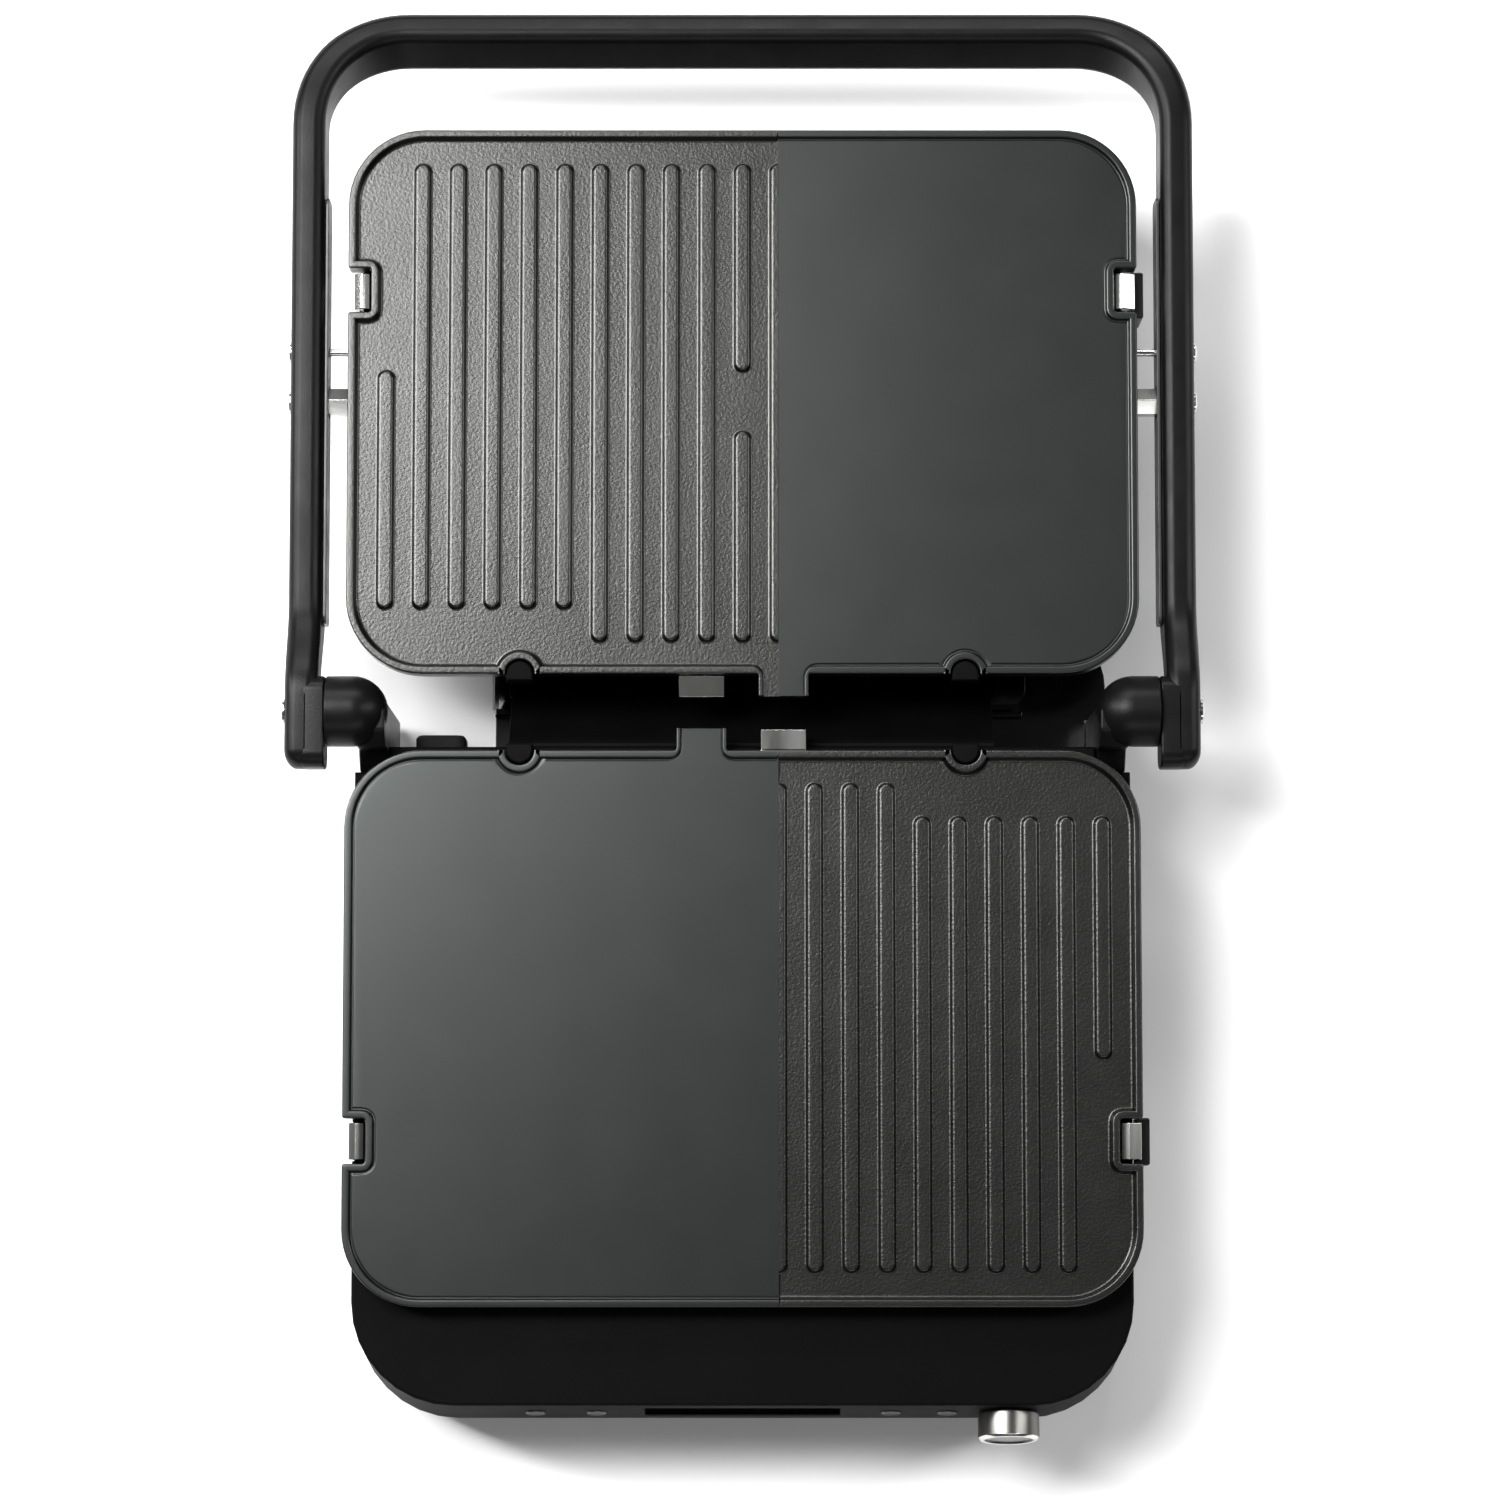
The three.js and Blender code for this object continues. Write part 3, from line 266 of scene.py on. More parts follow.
class Sculpt:
    """Collects rings and faces of one piece, in millimetres."""

    def __init__(self):
        self.mesh = bmesh.new()
        self.material = 0

    def ring(self, points):
        return [self.mesh.verts.new(Vector(point)) for point in points]

    def face(self, verts):
        seen = [v for i, v in enumerate(verts) if (v.co - verts[i - 1].co).length > SAME_POINT]
        if len(seen) > 2:
            self.mesh.faces.new(seen).material_index = self.material

    def bridge(self, low, high, material=None):
        for i in range(len(low)):
            j = (i + 1) % len(low)
            self.material = material(i) if material else self.material
            self.face([low[i], low[j], high[j], high[i]])

    def cap(self, ring, flip=False):
        self.face(list(reversed(ring)) if flip else ring)

    def fill(self, loops, up=True, material=0):
        """A flat floor inside the first loop and outside the others."""
        edges = []
        for loop in loops:
            for a, b in zip(loop, loop[1:] + loop[:1]):
                if (a.co - b.co).length > SAME_POINT:
                    edges.append(self.mesh.edges.get((a, b)) or self.mesh.edges.new((a, b)))
        normal = Vector((0, 0, 1 if up else -1))
        made = bmesh.ops.triangle_fill(self.mesh, use_beauty=True, edges=edges, normal=normal)
        for item in made["geom"]:
            if isinstance(item, bmesh.types.BMFace):
                item.material_index = material

    def slab(self, corners, profile, place):
        """A closed solid: the outline at each (inset, z) of the profile, with flat ends."""
        rings = [
            self.ring([place @ Vector((x, y, z)) for x, y in outline(corners, inset)])
            for inset, z in profile
        ]
        for low, high in zip(rings, rings[1:]):
            self.bridge(low, high)
        self.cap(rings[0], flip=True)
        self.cap(rings[-1])

    def lathe(self, points, place, steps):
        """A turned solid about its own Z axis, from (radius, z) points."""
        rings = []
        for radius, z in points:
            if radius < SAME_POINT:
                rings.append([self.mesh.verts.new(place @ Vector((0, 0, z)))])
                continue
            angles = [2 * math.pi * i / steps for i in range(steps)]
            rings.append(self.ring(
                [place @ Vector((radius * math.cos(a), radius * math.sin(a), z)) for a in angles]))
        for low, high in zip(rings, rings[1:]):
            for i in range(steps):
                j = (i + 1) % steps
                quad = [low[i % len(low)], low[j % len(low)], high[j % len(high)], high[i % len(high)]]
                kept = [v for k, v in enumerate(quad) if v is not quad[k - 1]]
                if len(kept) > 2:
                    self.mesh.faces.new(kept).material_index = self.material

    def finish(self, name, body, materials, place, sharp, replaces):
        bm = self.mesh
        bmesh.ops.remove_doubles(bm, verts=bm.verts[:], dist=WELD_DRAWN)
        bmesh.ops.recalc_face_normals(bm, faces=bm.faces[:])
        bm.transform(Matrix.Scale(MM, 4) @ (place or Matrix.Identity(4)))
        data = bpy.data.meshes.new(name)
        bm.to_mesh(data)
        bm.free()
        piece = bpy.data.objects.new(name, data)
        bpy.context.scene.collection.objects.link(piece)
        for material in materials:
            data.materials.append(material)
        data.polygons.foreach_set("use_smooth", [True] * len(data.polygons))
        data.set_sharp_from_angle(angle=math.radians(sharp))
        weigh(piece)
        register(piece, body, replaces)


def weigh(piece):
    weights = piece.modifiers.new("weights", "WEIGHTED_NORMAL")
    weights.keep_sharp = True
    weights.weight = 75


def register(piece, body, replaces):
    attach(piece, body)
    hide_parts(*replaces)


WELD_SOURCE, WELD_BEVEL = 2e-6, 1e-6  # metres
FLAT_ANGLE, HARD_ANGLE, SHARP_ANGLE = math.radians(0.6), math.radians(30.0), math.radians(50)
BEVEL_SEGMENTS = 2


def softened(node, edge):
    """The node's own shape with its hard edges rounded, as a new piece."""
    name = f"{node}_moulded"
    source = frame["nodes"][node]
    bm = bmesh.new()
    bm.from_mesh(source.data)
    bmesh.ops.remove_doubles(bm, verts=bm.verts[:], dist=WELD_SOURCE)
    bmesh.ops.dissolve_limit(bm, angle_limit=FLAT_ANGLE, verts=bm.verts[:], edges=bm.edges[:])
    hard = [e for e in bm.edges if len(e.link_faces) == 2 and e.calc_face_angle() > HARD_ANGLE]
    bmesh.ops.bevel(bm, geom=hard, offset=edge * MM, segments=BEVEL_SEGMENTS, profile=0.5,
                    affect="EDGES", clamp_overlap=True)
    bmesh.ops.remove_doubles(bm, verts=bm.verts[:], dist=WELD_BEVEL)
    bmesh.ops.triangulate(bm, faces=[f for f in bm.faces if len(f.verts) > 4])
    bm.normal_update()
    data = bpy.data.meshes.new(name)
    bm.to_mesh(data)
    bm.free()
    data.materials.append(SLOT_OF[NODE_SLOT[node]])
    data.polygons.foreach_set("use_smooth", [True] * len(data.polygons))
    data.set_sharp_from_angle(angle=SHARP_ANGLE)
    piece = bpy.data.objects.new(name, data)
    bpy.context.scene.collection.objects.link(piece)
    weigh(piece)
    register(piece, NODE_BODY[node], (node,))


# ------------------------------------------------------------- cooking plates

PLATE_HALF, PLATE_NEAR, PLATE_DEPTH, PLATE_CORNER = 155.0, -15.0, 216.0, 30.0
PLATE_FAR = PLATE_NEAR - PLATE_DEPTH
PLATE_MIDDLE = (PLATE_NEAR + PLATE_FAR) / 2
PLATE_LOW, GROOVE_Z, SMOOTH_Z = 70.0, 77.0, 78.6
NOTCH_Y, NOTCH_DEEP, NOTCH_HALF = PLATE_MIDDLE - 44.0, 9.0, 8.75
HOOK_X, HOOK_R = 87.0, 5.7
SPOUT_X, SPOUT_HALF, SPOUT_END = -16.0, 9.75, PLATE_NEAR + 8.6
SPLIT = 14.0
BESIDE = 0.4  # keeps the shading of the long edges even up to the split
RIB_PITCH, RIB_HALF = 14.0, 4.0
RIB_LAST, RIB_SHORT_FROM, RIB_SINK, CUT_GAP = 10, 4, -0.3, 0.02
RIB_FAR, RIB_NEAR, RIB_SHORT, RIB_STUB, RIB_MIDDLE = -95.5, 96.0, 83.0, -13.0, 11.0

# (inset from the plate's edge, z): side, rim, inner wall and the curve into the floor
RIM_PROFILE = [
    (0.7, 70.0), (0.2, 70.25), (0.0, 70.8), (0.0, 79.3), (0.12, 79.68), (0.35, 79.92), (0.7, 80.0),
    (2.3, 80.0), (2.62, 79.93), (2.85, 79.72), (2.98, 79.4), (3.6, 77.75), (3.75, 77.4),
    (4.0, 77.13), (4.35, 77.02), (4.8, 77.0),
]
SMOOTH_PROFILE = [
    (0.7, 70.0), (0.2, 70.25), (0.0, 70.8), (0.0, 79.3), (0.12, 79.68), (0.35, 79.92), (0.7, 80.0),
    (2.3, 80.0), (2.62, 79.93), (2.85, 79.72), (2.98, 79.4), (3.25, 78.6), (3.5, 78.3),
    (3.85, 78.3), (4.15, 78.54), (4.5, 78.6),
]
RIB_PROFILE = [
    (0.0, 0.0), (0.3, 0.03), (0.58, 0.16), (0.78, 0.42), (1.12, 1.3), (1.25, 1.6), (1.5, 1.86),
    (1.85, 1.98), (2.25, 2.0),
]


def plate_corners():
    """The plate's edge in named stretches, each anticlockwise."""
    steps = 14
    notch = [
        (PLATE_HALF, NOTCH_Y - NOTCH_HALF, 1.0, 5, 1),
        (PLATE_HALF - NOTCH_DEEP, NOTCH_Y - NOTCH_HALF, 1.2, 5, 1),
        (PLATE_HALF - NOTCH_DEEP, NOTCH_Y + NOTCH_HALF, 1.2, 5, 1),
        (PLATE_HALF, NOTCH_Y + NOTCH_HALF, 1.0, 5, 1),
    ]

    def scallop(x):
        return [
            (x + HOOK_R, PLATE_NEAR, 1.2, 5, 1),
            (x + HOOK_R, PLATE_NEAR - HOOK_R, HOOK_R - 0.02, 9, 1),
            (x - HOOK_R, PLATE_NEAR - HOOK_R, HOOK_R - 0.02, 9, 1),
            (x - HOOK_R, PLATE_NEAR, 1.2, 5, 1),
        ]

    lip = 0.04
    spout = [
        (SPOUT_X + SPOUT_HALF, PLATE_NEAR, 0.8, 4, 0.5),
        (SPOUT_X + SPOUT_HALF, SPOUT_END - lip, 0, 1, 0.5),
        (SPOUT_X + SPOUT_HALF, SPOUT_END, 0, 1, 0.06),
        (SPOUT_X - SPOUT_HALF, SPOUT_END, 0, 1, 0.5),
        (SPOUT_X - SPOUT_HALF, SPOUT_END - lip, 0, 1, 0.5),
        (SPOUT_X - SPOUT_HALF, PLATE_NEAR, 0.8, 4, 1),
    ]
    left_notch = [(-x, y, r, n, f) for x, y, r, n, f in reversed(notch)]
    return {
        "front_left": [(-PLATE_HALF, PLATE_FAR, PLATE_CORNER, steps, 1)],
        "front_right": [(PLATE_HALF, PLATE_FAR, PLATE_CORNER, steps, 1)],
        "notch_right": notch,
        "rear_right": [(PLATE_HALF, PLATE_NEAR, PLATE_CORNER, steps, 1)],
        "hook_right": scallop(HOOK_X),
        "spout": spout,
        "hook_left": scallop(-HOOK_X),
        "rear_left": [(-PLATE_HALF, PLATE_NEAR, PLATE_CORNER, steps, 1)],
        "notch_left": left_notch,
    }


def plate_edge(split):
    """Corners round the plate, each marked as smooth or ribbed, low or not."""
    parts = plate_corners()
    order = ["front_left", "split_far", "front_right", "notch_right", "rear_right", "hook_right",
             "split_near", "spout", "hook_left", "rear_left", "notch_left"]
    in_spout = abs(split - SPOUT_X) < SPOUT_HALF
    marked = []
    side = "smooth"
    for name in order:
        if name == "split_far":
            for x, side in ((-BESIDE, "smooth"), (0, "smooth"), (0, "ribbed"), (BESIDE, "ribbed")):
                marked.append(((split + x, PLATE_FAR, 0, 1, 1), side, False))
            continue
        if name == "split_near":
            if not in_spout:
                for x, side in ((BESIDE, "ribbed"), (0, "ribbed"), (0, "smooth"), (-BESIDE, "smooth")):
                    marked.append(((split + x, PLATE_NEAR, 0, 1, 1), side, False))
            continue
        for i, corner in enumerate(parts[name]):
            low = name == "spout" and i in (2, 3)
            if name == "spout" and in_spout and i == 3:
                marked.append(((split, SPOUT_END, 0, 1, 0.06), "ribbed", True))
                marked.append(((split, SPOUT_END, 0, 1, 0.06), "smooth", True))
                side = "smooth"
            marked.append((corner, side, low))
    return marked


def rib_corners(x, low, high, half):
    return [(x - half, low, half - 0.01, 9, 1), (x + half, low, half - 0.01, 9, 1),
            (x + half, high, half - 0.01, 9, 1), (x - half, high, half - 0.01, 9, 1)]


def rib_stretches(column):
    if column == 0:
        return [(RIB_FAR, -RIB_MIDDLE), (RIB_MIDDLE, RIB_NEAR)]
    if column == RIB_LAST:
        return [(RIB_STUB, RIB_SHORT)]
    return [(RIB_FAR, RIB_SHORT if abs(column) > RIB_SHORT_FROM else RIB_NEAR)]


def cut_rib(sculpt, split, low, high):
    """The rib that the smooth half cuts in two lengthways."""
    rings = []
    for inset, height in [(0.0, RIB_SINK)] + RIB_PROFILE:
        half = RIB_HALF - inset
        points = [(split + CUT_GAP, PLATE_MIDDLE + low + inset)]
        for start, angle in ((low, -90), (high, 0)):
            centre = start + (RIB_HALF if start == low else -RIB_HALF)
            for step in range(9):
                a = math.radians(angle + 90 * step / 8)
                points.append((split + max(half * math.cos(a), CUT_GAP),
                               PLATE_MIDDLE + centre + half * math.sin(a)))
        points.append((split + CUT_GAP, PLATE_MIDDLE + high - inset))
        rings.append(sculpt.ring([(x, y, GROOVE_Z + height) for x, y in points]))
    for lower, upper in zip(rings, rings[1:]):
        sculpt.bridge(lower, upper)
    sculpt.cap(rings[0], flip=True)
    sculpt.cap(rings[-1])


def plate(name, node, split, place):
    """One casting: rim, grooves, ribs, smooth half, spout, and ledges in its notches."""
    sculpt = Sculpt()
    marked = plate_edge(split)
    corners = [corner for corner, _, _ in marked]
    tags = []
    for corner, side, low in marked:
        flat = corner[3] < 2
        tags.extend([(side, low)] * (1 if flat else corner[3]))
    rings = []
    for k in range(len(RIM_PROFILE)):
        ribbed = outline(corners, RIM_PROFILE[k][0])
        smooth = outline(corners, SMOOTH_PROFILE[k][0])
        points = []
        for i, (side, low) in enumerate(tags):
            x, y = ribbed[i] if side == "ribbed" else smooth[i]
            z = RIM_PROFILE[k][1] if side == "ribbed" else SMOOTH_PROFILE[k][1]
            if low:
                z = min(z, GROOVE_Z if side == "ribbed" else SMOOTH_Z)
            points.append((x, y, z))
        rings.append(sculpt.ring(points))
    for lower, upper in zip(rings, rings[1:]):
        sculpt.bridge(lower, upper, material=lambda i: 0 if tags[i][0] == "ribbed" else 1)
    sculpt.material = 0
    sculpt.fill([rings[0]], up=False)
    floor = rings[-1]
    ribbed_loop = [v for v, (side, _) in zip(floor, tags) if side == "ribbed"]
    smooth_loop = [v for v, (side, _) in zip(floor, tags) if side == "smooth"]
    holes = []
    first = round(split / RIB_PITCH)
    for column in range(first, RIB_LAST + 1):
        for low, high in rib_stretches(column):
            if column == first:
                cut_rib(sculpt, split, low, high)
                continue
            corners_now = rib_corners(column * RIB_PITCH, PLATE_MIDDLE + low, PLATE_MIDDLE + high, RIB_HALF)
            rib = [sculpt.ring([(x, y, GROOVE_Z + z) for x, y in outline(corners_now, inset)])
                   for inset, z in RIB_PROFILE]
            for lower, upper in zip(rib, rib[1:]):
                sculpt.bridge(lower, upper)
            sculpt.fill([rib[-1]])
            holes.append(rib[0])
    sculpt.fill([ribbed_loop, *holes], material=0)
    sculpt.fill([smooth_loop], material=1)
    ends = [(i, i + 1) for i in range(len(tags) - 1) if tags[i][0] != tags[i + 1][0]]
    (far_smooth, far_ribbed), (near_ribbed, near_smooth) = ends
    sculpt.face([floor[far_ribbed], floor[near_ribbed], floor[near_smooth], floor[far_smooth]])
    sculpt.finish(name, NODE_BODY[node], [RIBBED, SMOOTH], place, sharp=55, replaces=(node,))


plate("lower_cooking_plate", "lower_plate", SPLIT, TO_ROW)
plate("upper_cooking_plate", "upper_plate", -SPLIT, TO_LID)


# --------------------------------------------------------------------- handle

ARM_INNER, ARM_OUTER, ARM_LOW, ARM_HIGH = 165.0, 178.0, 52.0, 77.0
BAR_OUTER, CORNER = 280.2, 45.0
ARM_END, END_LOW, END_HIGH = -22.5, 72.0, 90.0
HANDLE_EDGE, END_ROUND = 4.6, 7.0
LEAN = math.radians(20)
BEND_STEP = 5  # degrees
# (start, length) along the arm of the crank's lower and upper lines
CRANK_LOW, CRANK_HIGH = (6, 38), (8, 36)
ARM_STATIONS = [-10, 0, 6, 11, 16, 21, 26, 31, 36, 41, 46, 70, 110, 150, 190, 215]
PAD_FRONT, PAD_CORNER = 13.5, 6.0
PAD_PROFILE = [(0.8, 162.3), (0.25, 162.5), (0.0, 163.1), (0.0, 170.0), (0.6, 172.0)]


def ease(t):
    t = min(max(t, 0.0), 1.0)
    return t * t * (3 - 2 * t)


def arm_levels(y):
    """The arm's lowest and highest points at a distance from the hinge line."""
    low = END_LOW + (ARM_LOW - END_LOW) * ease((y - CRANK_LOW[0]) / CRANK_LOW[1])
    high = END_HIGH + (ARM_HIGH - END_HIGH) * ease((y - CRANK_HIGH[0]) / CRANK_HIGH[1])
    return low, high


def handle_stations():
    """(centre x, centre y, direction angle, low, high, shrink) along the handle."""
    half = (ARM_OUTER - ARM_INNER) / 2
    middle = (ARM_INNER + ARM_OUTER) / 2
    bend_y = BAR_OUTER - CORNER
    found = []
    for step in range(8):
        angle = math.pi / 2 * step / 7
        drop = HANDLE_EDGE * (1 - math.sin(angle))
        end_round = END_ROUND * (1 - math.sin(angle))
        y = ARM_END + END_ROUND * (1 - math.cos(angle))
        found.append((middle, y, 90.0, END_LOW + end_round, END_HIGH - end_round, drop))
    for y in [*ARM_STATIONS, bend_y]:
        low, high = arm_levels(y)
        found.append((middle, y, 90.0, low, high, 0.0))
    for step in range(1, 90 // BEND_STEP + 1):
        angle = math.radians(BEND_STEP * step)
        radius = CORNER - half
        found.append((ARM_OUTER - CORNER + radius * math.cos(angle), bend_y + radius * math.sin(angle),
                      90.0 + BEND_STEP * step, ARM_LOW, ARM_HIGH, 0.0))
    mirrored = [(-x, y, 360.0 - a, low, high, s) for x, y, a, low, high, s in reversed(found)]
    return found + mirrored


def bent_down(point):
    """Leans the bar: past the start of the corners the loop curves down, then runs straight."""
    start = BAR_OUTER - CORNER
    run = CORNER - (ARM_OUTER - ARM_INNER)
    past = point.y - start
    if past <= 0:
        return point
    angle = LEAN * min(past / run, 1)
    straight = max(past - run, 0)
    middle, radius = (ARM_LOW + ARM_HIGH) / 2, run / LEAN
    off = point.z - middle + radius
    return Vector((point.x, start + straight * math.cos(angle) + off * math.sin(angle),
                   middle - radius - straight * math.sin(angle) + off * math.cos(angle)))


def handle():
    sculpt = Sculpt()
    half = (ARM_OUTER - ARM_INNER) / 2
    rings = []
    for x, y, angle, low, high, shrink in handle_stations():
        width, height = half - shrink, (high - low) / 2
        across = Vector((math.sin(math.radians(angle)), -math.cos(math.radians(angle)), 0))
        section = rectangle(-width, width, -height, height, min(HANDLE_EDGE, width, height) - 0.02, 7)
        middle = Vector((x, y, (low + high) / 2))
        rings.append(sculpt.ring(
            [bent_down(middle + across * u + Vector((0, 0, v))) for u, v in outline(section)]))
    for low, high in zip(rings, rings[1:]):
        sculpt.bridge(low, high)
    sculpt.cap(rings[0], flip=True)
    sculpt.cap(rings[-1])
    pad = rectangle(ARM_END, PAD_FRONT, END_LOW, END_HIGH, PAD_CORNER)
    for side in ("right", "left"):
        sculpt.slab(pad, PAD_PROFILE, to_side(side) @ ALONG_X)
    sculpt.finish("handle_casting", "handle", [CASTING], TO_ROW, sharp=60, replaces=("handle",))


handle()


# ------------------------------------------------------------------ hinge posts

BOSS_R, BOSS_TIP, BOSS_FACE = 13.8, 138.0, 162.0
POST_CORNERS = [
    (-22.0, 7.0, 1.0, 3, 1), (4.5, 7.0, 1.0, 3, 1), (4.5, AXIS_Z + 2, 2.5, 4, 1),
    (0.0, AXIS_Z + 7, 2.5, 4, 1), (-8.0, AXIS_Z + 7, 2.5, 4, 1), (-14.0, AXIS_Z, 3.0, 4, 1),
    (-14.0, PLATE_LOW, 1.5, 4, 1), (-22.0, PLATE_LOW - 6, 1.5, 4, 1),
]
POST_PROFILE = [
    (0.8, 139.0), (0.25, 139.2), (0.0, 139.8), (0.0, 149.5), (0.25, 150.1), (0.8, 150.3),
]


def hinge_post(side):
    sculpt = Sculpt()
    mirror = to_side(side)
    radius, tip, face = BOSS_R, BOSS_TIP, BOSS_FACE
    points = [(radius * math.sin(math.radians(a)), tip + radius * (1 - math.cos(math.radians(a))))
              for a in range(0, 91, 9)]
    points += [(radius, face - 0.6), (radius - 0.2, face - 0.15), (radius - 0.7, face), (0, face)]
    place = mirror @ Matrix.Translation((0, 0, AXIS_Z)) @ Matrix.Rotation(math.pi / 2, 4, "Y")
    sculpt.lathe(points, place, 56)
    sculpt.slab(POST_CORNERS, POST_PROFILE, mirror @ ALONG_X)
    node = f"hinge_post_{side}"
    sculpt.finish(f"hinge_boss_{side}", "base", [CASTING], TO_ROW, sharp=50, replaces=(node,))


for side in ("right", "left"):
    hinge_post(side)


# -------------------------------------------------------- screws, pins and knob

PIN_Z = 64.0
SHANK_R = {"hinge_screw": 4.0, "float_pin": 2.5, "limit_pin": 1.5}
DOME, HEAD_BACK, HEAD_RIM = 1.3, 2.0, 1.8
HEX_R, HEX_CORNER = 5.9, 0.35
HEX_PROFILE = [(0.35, 155.3), (0.0, 155.6), (0.0, 164.4), (0.35, 164.7)]


def headed(node, radius, side, hexagon=False):
    """A domed, slotless screw head with its shank, as the node has them."""
    low, high = span(node)
    centre_y, centre_z = (low.y + high.y) / 2, (low.z + high.z) / 2
    if node.startswith("limit_pin") or node.startswith("float_pin"):
        centre_z = PIN_Z
    sign = 1 if side == "right" else -1
    outer = max(abs(low.x), abs(high.x))
    inner = min(abs(low.x), abs(high.x))
    sculpt = Sculpt()
    place = Matrix.Translation((0, centre_y, centre_z)) @ Matrix.Rotation(sign * math.pi / 2, 4, "Y")
    shank = SHANK_R[node.rsplit("_", 1)[0]]
    dome = [(radius * math.sin(math.radians(a)), outer - DOME + DOME * math.cos(math.radians(a)))
            for a in range(80, -1, -16)]
    points = [(0, inner), (shank - 0.3, inner), (shank, inner + 0.3), (shank, outer - HEAD_BACK),
              (radius - 0.2, outer - HEAD_BACK), (radius, outer - HEAD_RIM), *dome[:-1], (0, outer)]
    sculpt.lathe(points, place, 32)
    if hexagon:
        turns = [math.radians(60 * i) for i in range(6)]
        corners = [(HEX_R * math.cos(a), HEX_R * math.sin(a), HEX_CORNER, 3, 1) for a in turns]
        sculpt.slab(corners, HEX_PROFILE, place)
    sculpt.finish(f"{node}_turned", NODE_BODY[node], [STEEL], None, sharp=35, replaces=(node,))


for side in ("right", "left"):
    headed(f"hinge_screw_{side}", 4.8, side)
    headed(f"float_pin_{side}", 4.6, side, hexagon=True)
    headed(f"limit_pin_{side}", 4.2, side)

SELECTOR = next(joint for joint in frame["joints"] if joint["name"] == "knob_turn")
KNOB_R, KNOB_FRONT, KNOB_BACK = 12.0, 11.3, 0.8
KNOB_BORE_R, KNOB_BORE_END = 3.25, 8.8
KNOB_STEPS = 72


def knob():
    """A turned knob: plain skirt, polished ring and a face sunk a little."""
    centre = Vector(SELECTOR["pos_m"]) / MM
    axis = Vector(SELECTOR["axis"]).normalized()
    turn = Vector((0, 0, 1)).rotation_difference(axis).to_matrix().to_4x4()
    radius, front = KNOB_R, KNOB_FRONT
    place = Matrix.Translation(centre) @ turn
    sculpt = Sculpt()
    side = [(0, KNOB_BORE_END), (KNOB_BORE_R, KNOB_BORE_END), (KNOB_BORE_R, KNOB_BACK),
            (radius - 0.7, KNOB_BACK), (radius - 0.2, 1.0), (radius, 1.5), (radius, front - 1.1)]
    ring = [(radius, front - 1.1), (radius - 0.15, front - 0.8), (radius - 0.85, front - 0.1),
            (radius - 1.1, front), (radius - 2.2, front), (radius - 2.45, front - 0.12)]
    face = [(radius - 2.45, front - 0.12), (radius - 2.7, front - 0.7), (radius - 3.2, front - 0.8),
            (0, front - 0.8)]
    sculpt.lathe(side, place, KNOB_STEPS)
    sculpt.material = 1
    sculpt.lathe(ring, place, KNOB_STEPS)
    sculpt.material = 0
    sculpt.lathe(face, place, KNOB_STEPS)
    sculpt.finish("selector_knob", "selector", [KNOB, KNOB_RING], None, sharp=35, replaces=("knob",))


knob()


# ----------------------------------------------------- mouldings from the frame

MOULDED = {
    "base_shell": 0.8, "base_deck": 0.9, "front_panel": 0.4, "display_window": 0.2,
    "power_button": 0.2, "mode_button": 0.2, "timer_down_button": 0.2, "timer_up_button": 0.2,
    "lower_hook_left": 0.35, "lower_hook_right": 0.35, "upper_hook_left": 0.35, "upper_hook_right": 0.35,
    "lower_spring_clip": 0.2, "upper_spring_clip": 0.2,
    "lower_fixed_tongue": 0.3, "upper_fixed_tongue": 0.3,
    "lower_latch_tongue": 0.3, "upper_latch_tongue": 0.3,
    "lower_release_button": 0.4, "upper_release_button": 0.4,
    "cord_gland": 0.4, "tray_carrier": 0.6, "drip_tray": 0.6, "drip_chute": 0.3,
    "arm_liner_right": 0.2, "arm_liner_left": 0.2,
    "upper_frame": 0.6, "upper_cover": 1.0, "rest_pad_left": 0.4, "rest_pad_right": 0.4,
    "foot_front_left": 0.3, "foot_front_right": 0.3, "foot_rear_left": 0.3, "foot_rear_right": 0.3,
}
for node, edge in MOULDED.items():
    softened(node, edge)

replaced = set(MOULDED) | {
    "lower_plate", "upper_plate", "handle", "knob", "hinge_post_left", "hinge_post_right",
    *(f"{kind}_{side}" for kind in ("hinge_screw", "float_pin", "limit_pin") for side in ("left", "right")),
}
for node, obj in frame["nodes"].items():
    if node not in replaced:
        for slot in obj.material_slots:
            slot.material = SLOT_OF[NODE_SLOT[node]]


# --------------------------------------------------------- floor, light, camera

FLOOR_REACH, FLOOR_TONE, FLOOR_ROUGHNESS = 6.0, 0.86, 0.9
WORLD_STRENGTH = 0.10
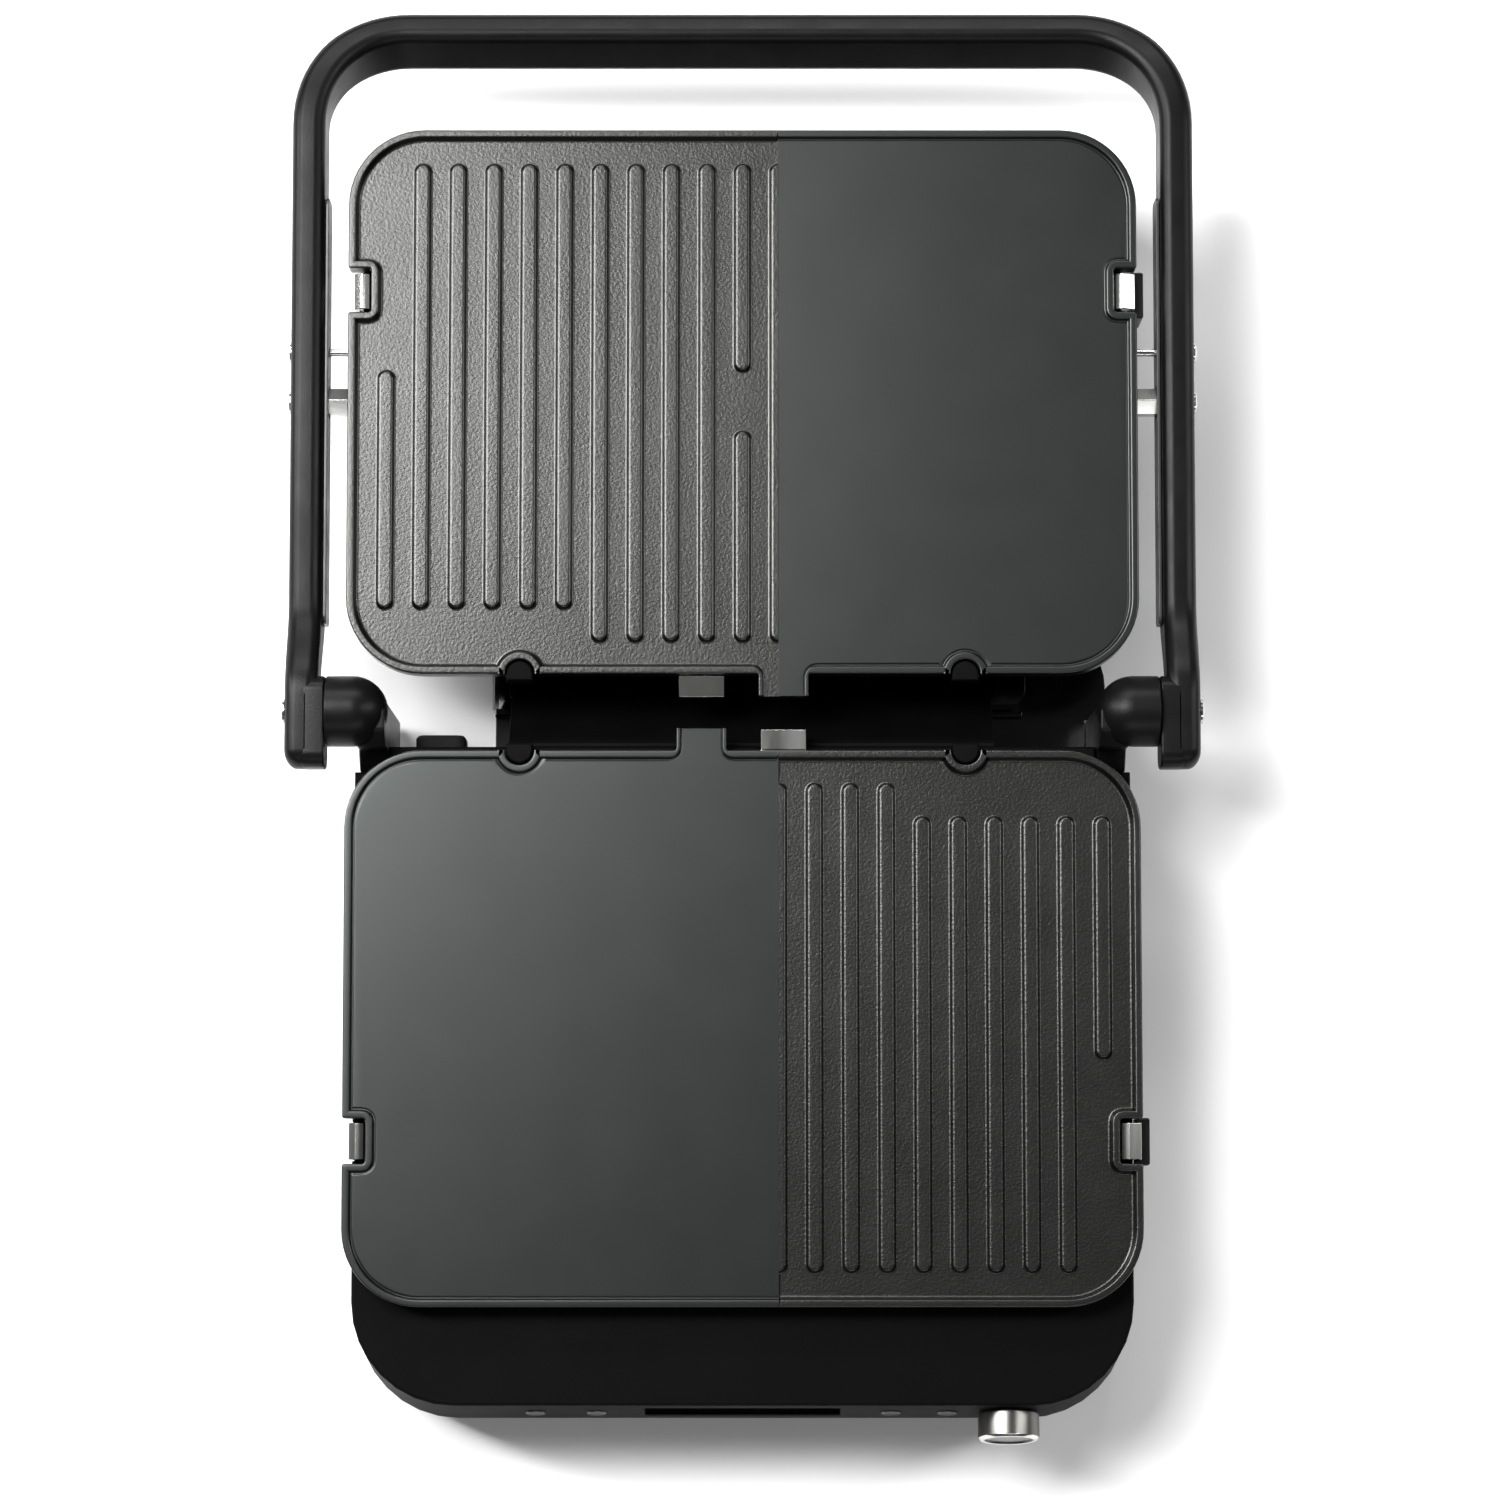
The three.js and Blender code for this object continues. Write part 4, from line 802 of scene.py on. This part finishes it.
# name, place, aim, width, height, power
LIGHTS = [
    ("key", (-0.68, 0.52, 1.75), (0, 0.05, 0), 0.7, 0.7, 42),
    ("right", (1.5, 0.35, 1.3), (0, 0, 0), 0.25, 1.6, 17),
    ("left", (-1.5, 0.45, 1.3), (0, 0, 0), 0.25, 1.6, 44),
    ("back", (-0.2, 1.7, 1.3), (0, 0, 0), 1.6, 0.25, 26),
    ("front", (0.2, -1.6, 1.3), (0, 0, 0), 1.6, 0.25, 8),
]
EYE, EYE_TILT = (0.0, -0.20, 1.8), 4.95
SENSOR, LENS, SHIFT = 36, 106.6, (0.005, 0.07)


def floor():
    data = bpy.data.meshes.new("floor")
    reach = FLOOR_REACH
    data.from_pydata([(-reach, -reach, 0), (reach, -reach, 0), (reach, reach, 0), (-reach, reach, 0)],
                     [], [(0, 1, 2, 3)])
    piece = bpy.data.objects.new("floor", data)
    bpy.context.scene.collection.objects.link(piece)
    material = bpy.data.materials.new("pale_floor")
    _, shader = nodes_of(material)
    shader.inputs["Base Color"].default_value = grey(FLOOR_TONE)
    shader.inputs["Roughness"].default_value = FLOOR_ROUGHNESS
    shader.inputs["Specular IOR Level"].default_value = 0.1
    data.materials.append(material)


def area_light(name, place, aim, width, height, power):
    data = bpy.data.lights.new(name, "AREA")
    data.shape = "RECTANGLE"
    data.size, data.size_y = width, height
    data.energy = power
    lamp = bpy.data.objects.new(name, data)
    lamp.location = place
    lamp.rotation_mode = "QUATERNION"
    lamp.rotation_quaternion = (Vector(aim) - Vector(place)).to_track_quat("-Z", "Y")
    bpy.context.scene.collection.objects.link(lamp)


def studio():
    world = bpy.data.worlds.new("studio")
    bpy.context.scene.world = world
    world.use_nodes = True
    background = world.node_tree.nodes["Background"]
    background.inputs["Color"].default_value = (1, 1, 1, 1)
    background.inputs["Strength"].default_value = WORLD_STRENGTH
    bpy.context.scene.view_settings.view_transform = "Standard"
    for light in LIGHTS:
        area_light(*light)


def camera():
    data = bpy.data.cameras.new("camera")
    eye = bpy.data.objects.new("camera", data)
    bpy.context.scene.collection.objects.link(eye)
    eye.location = EYE
    eye.rotation_mode = "XYZ"
    eye.rotation_euler = (math.radians(EYE_TILT), 0, 0)
    data.sensor_width = SENSOR
    data.lens = LENS
    data.shift_x, data.shift_y = SHIFT
    bpy.context.scene.camera = eye


floor()
studio()
camera()

bpy.context.view_layer.update()
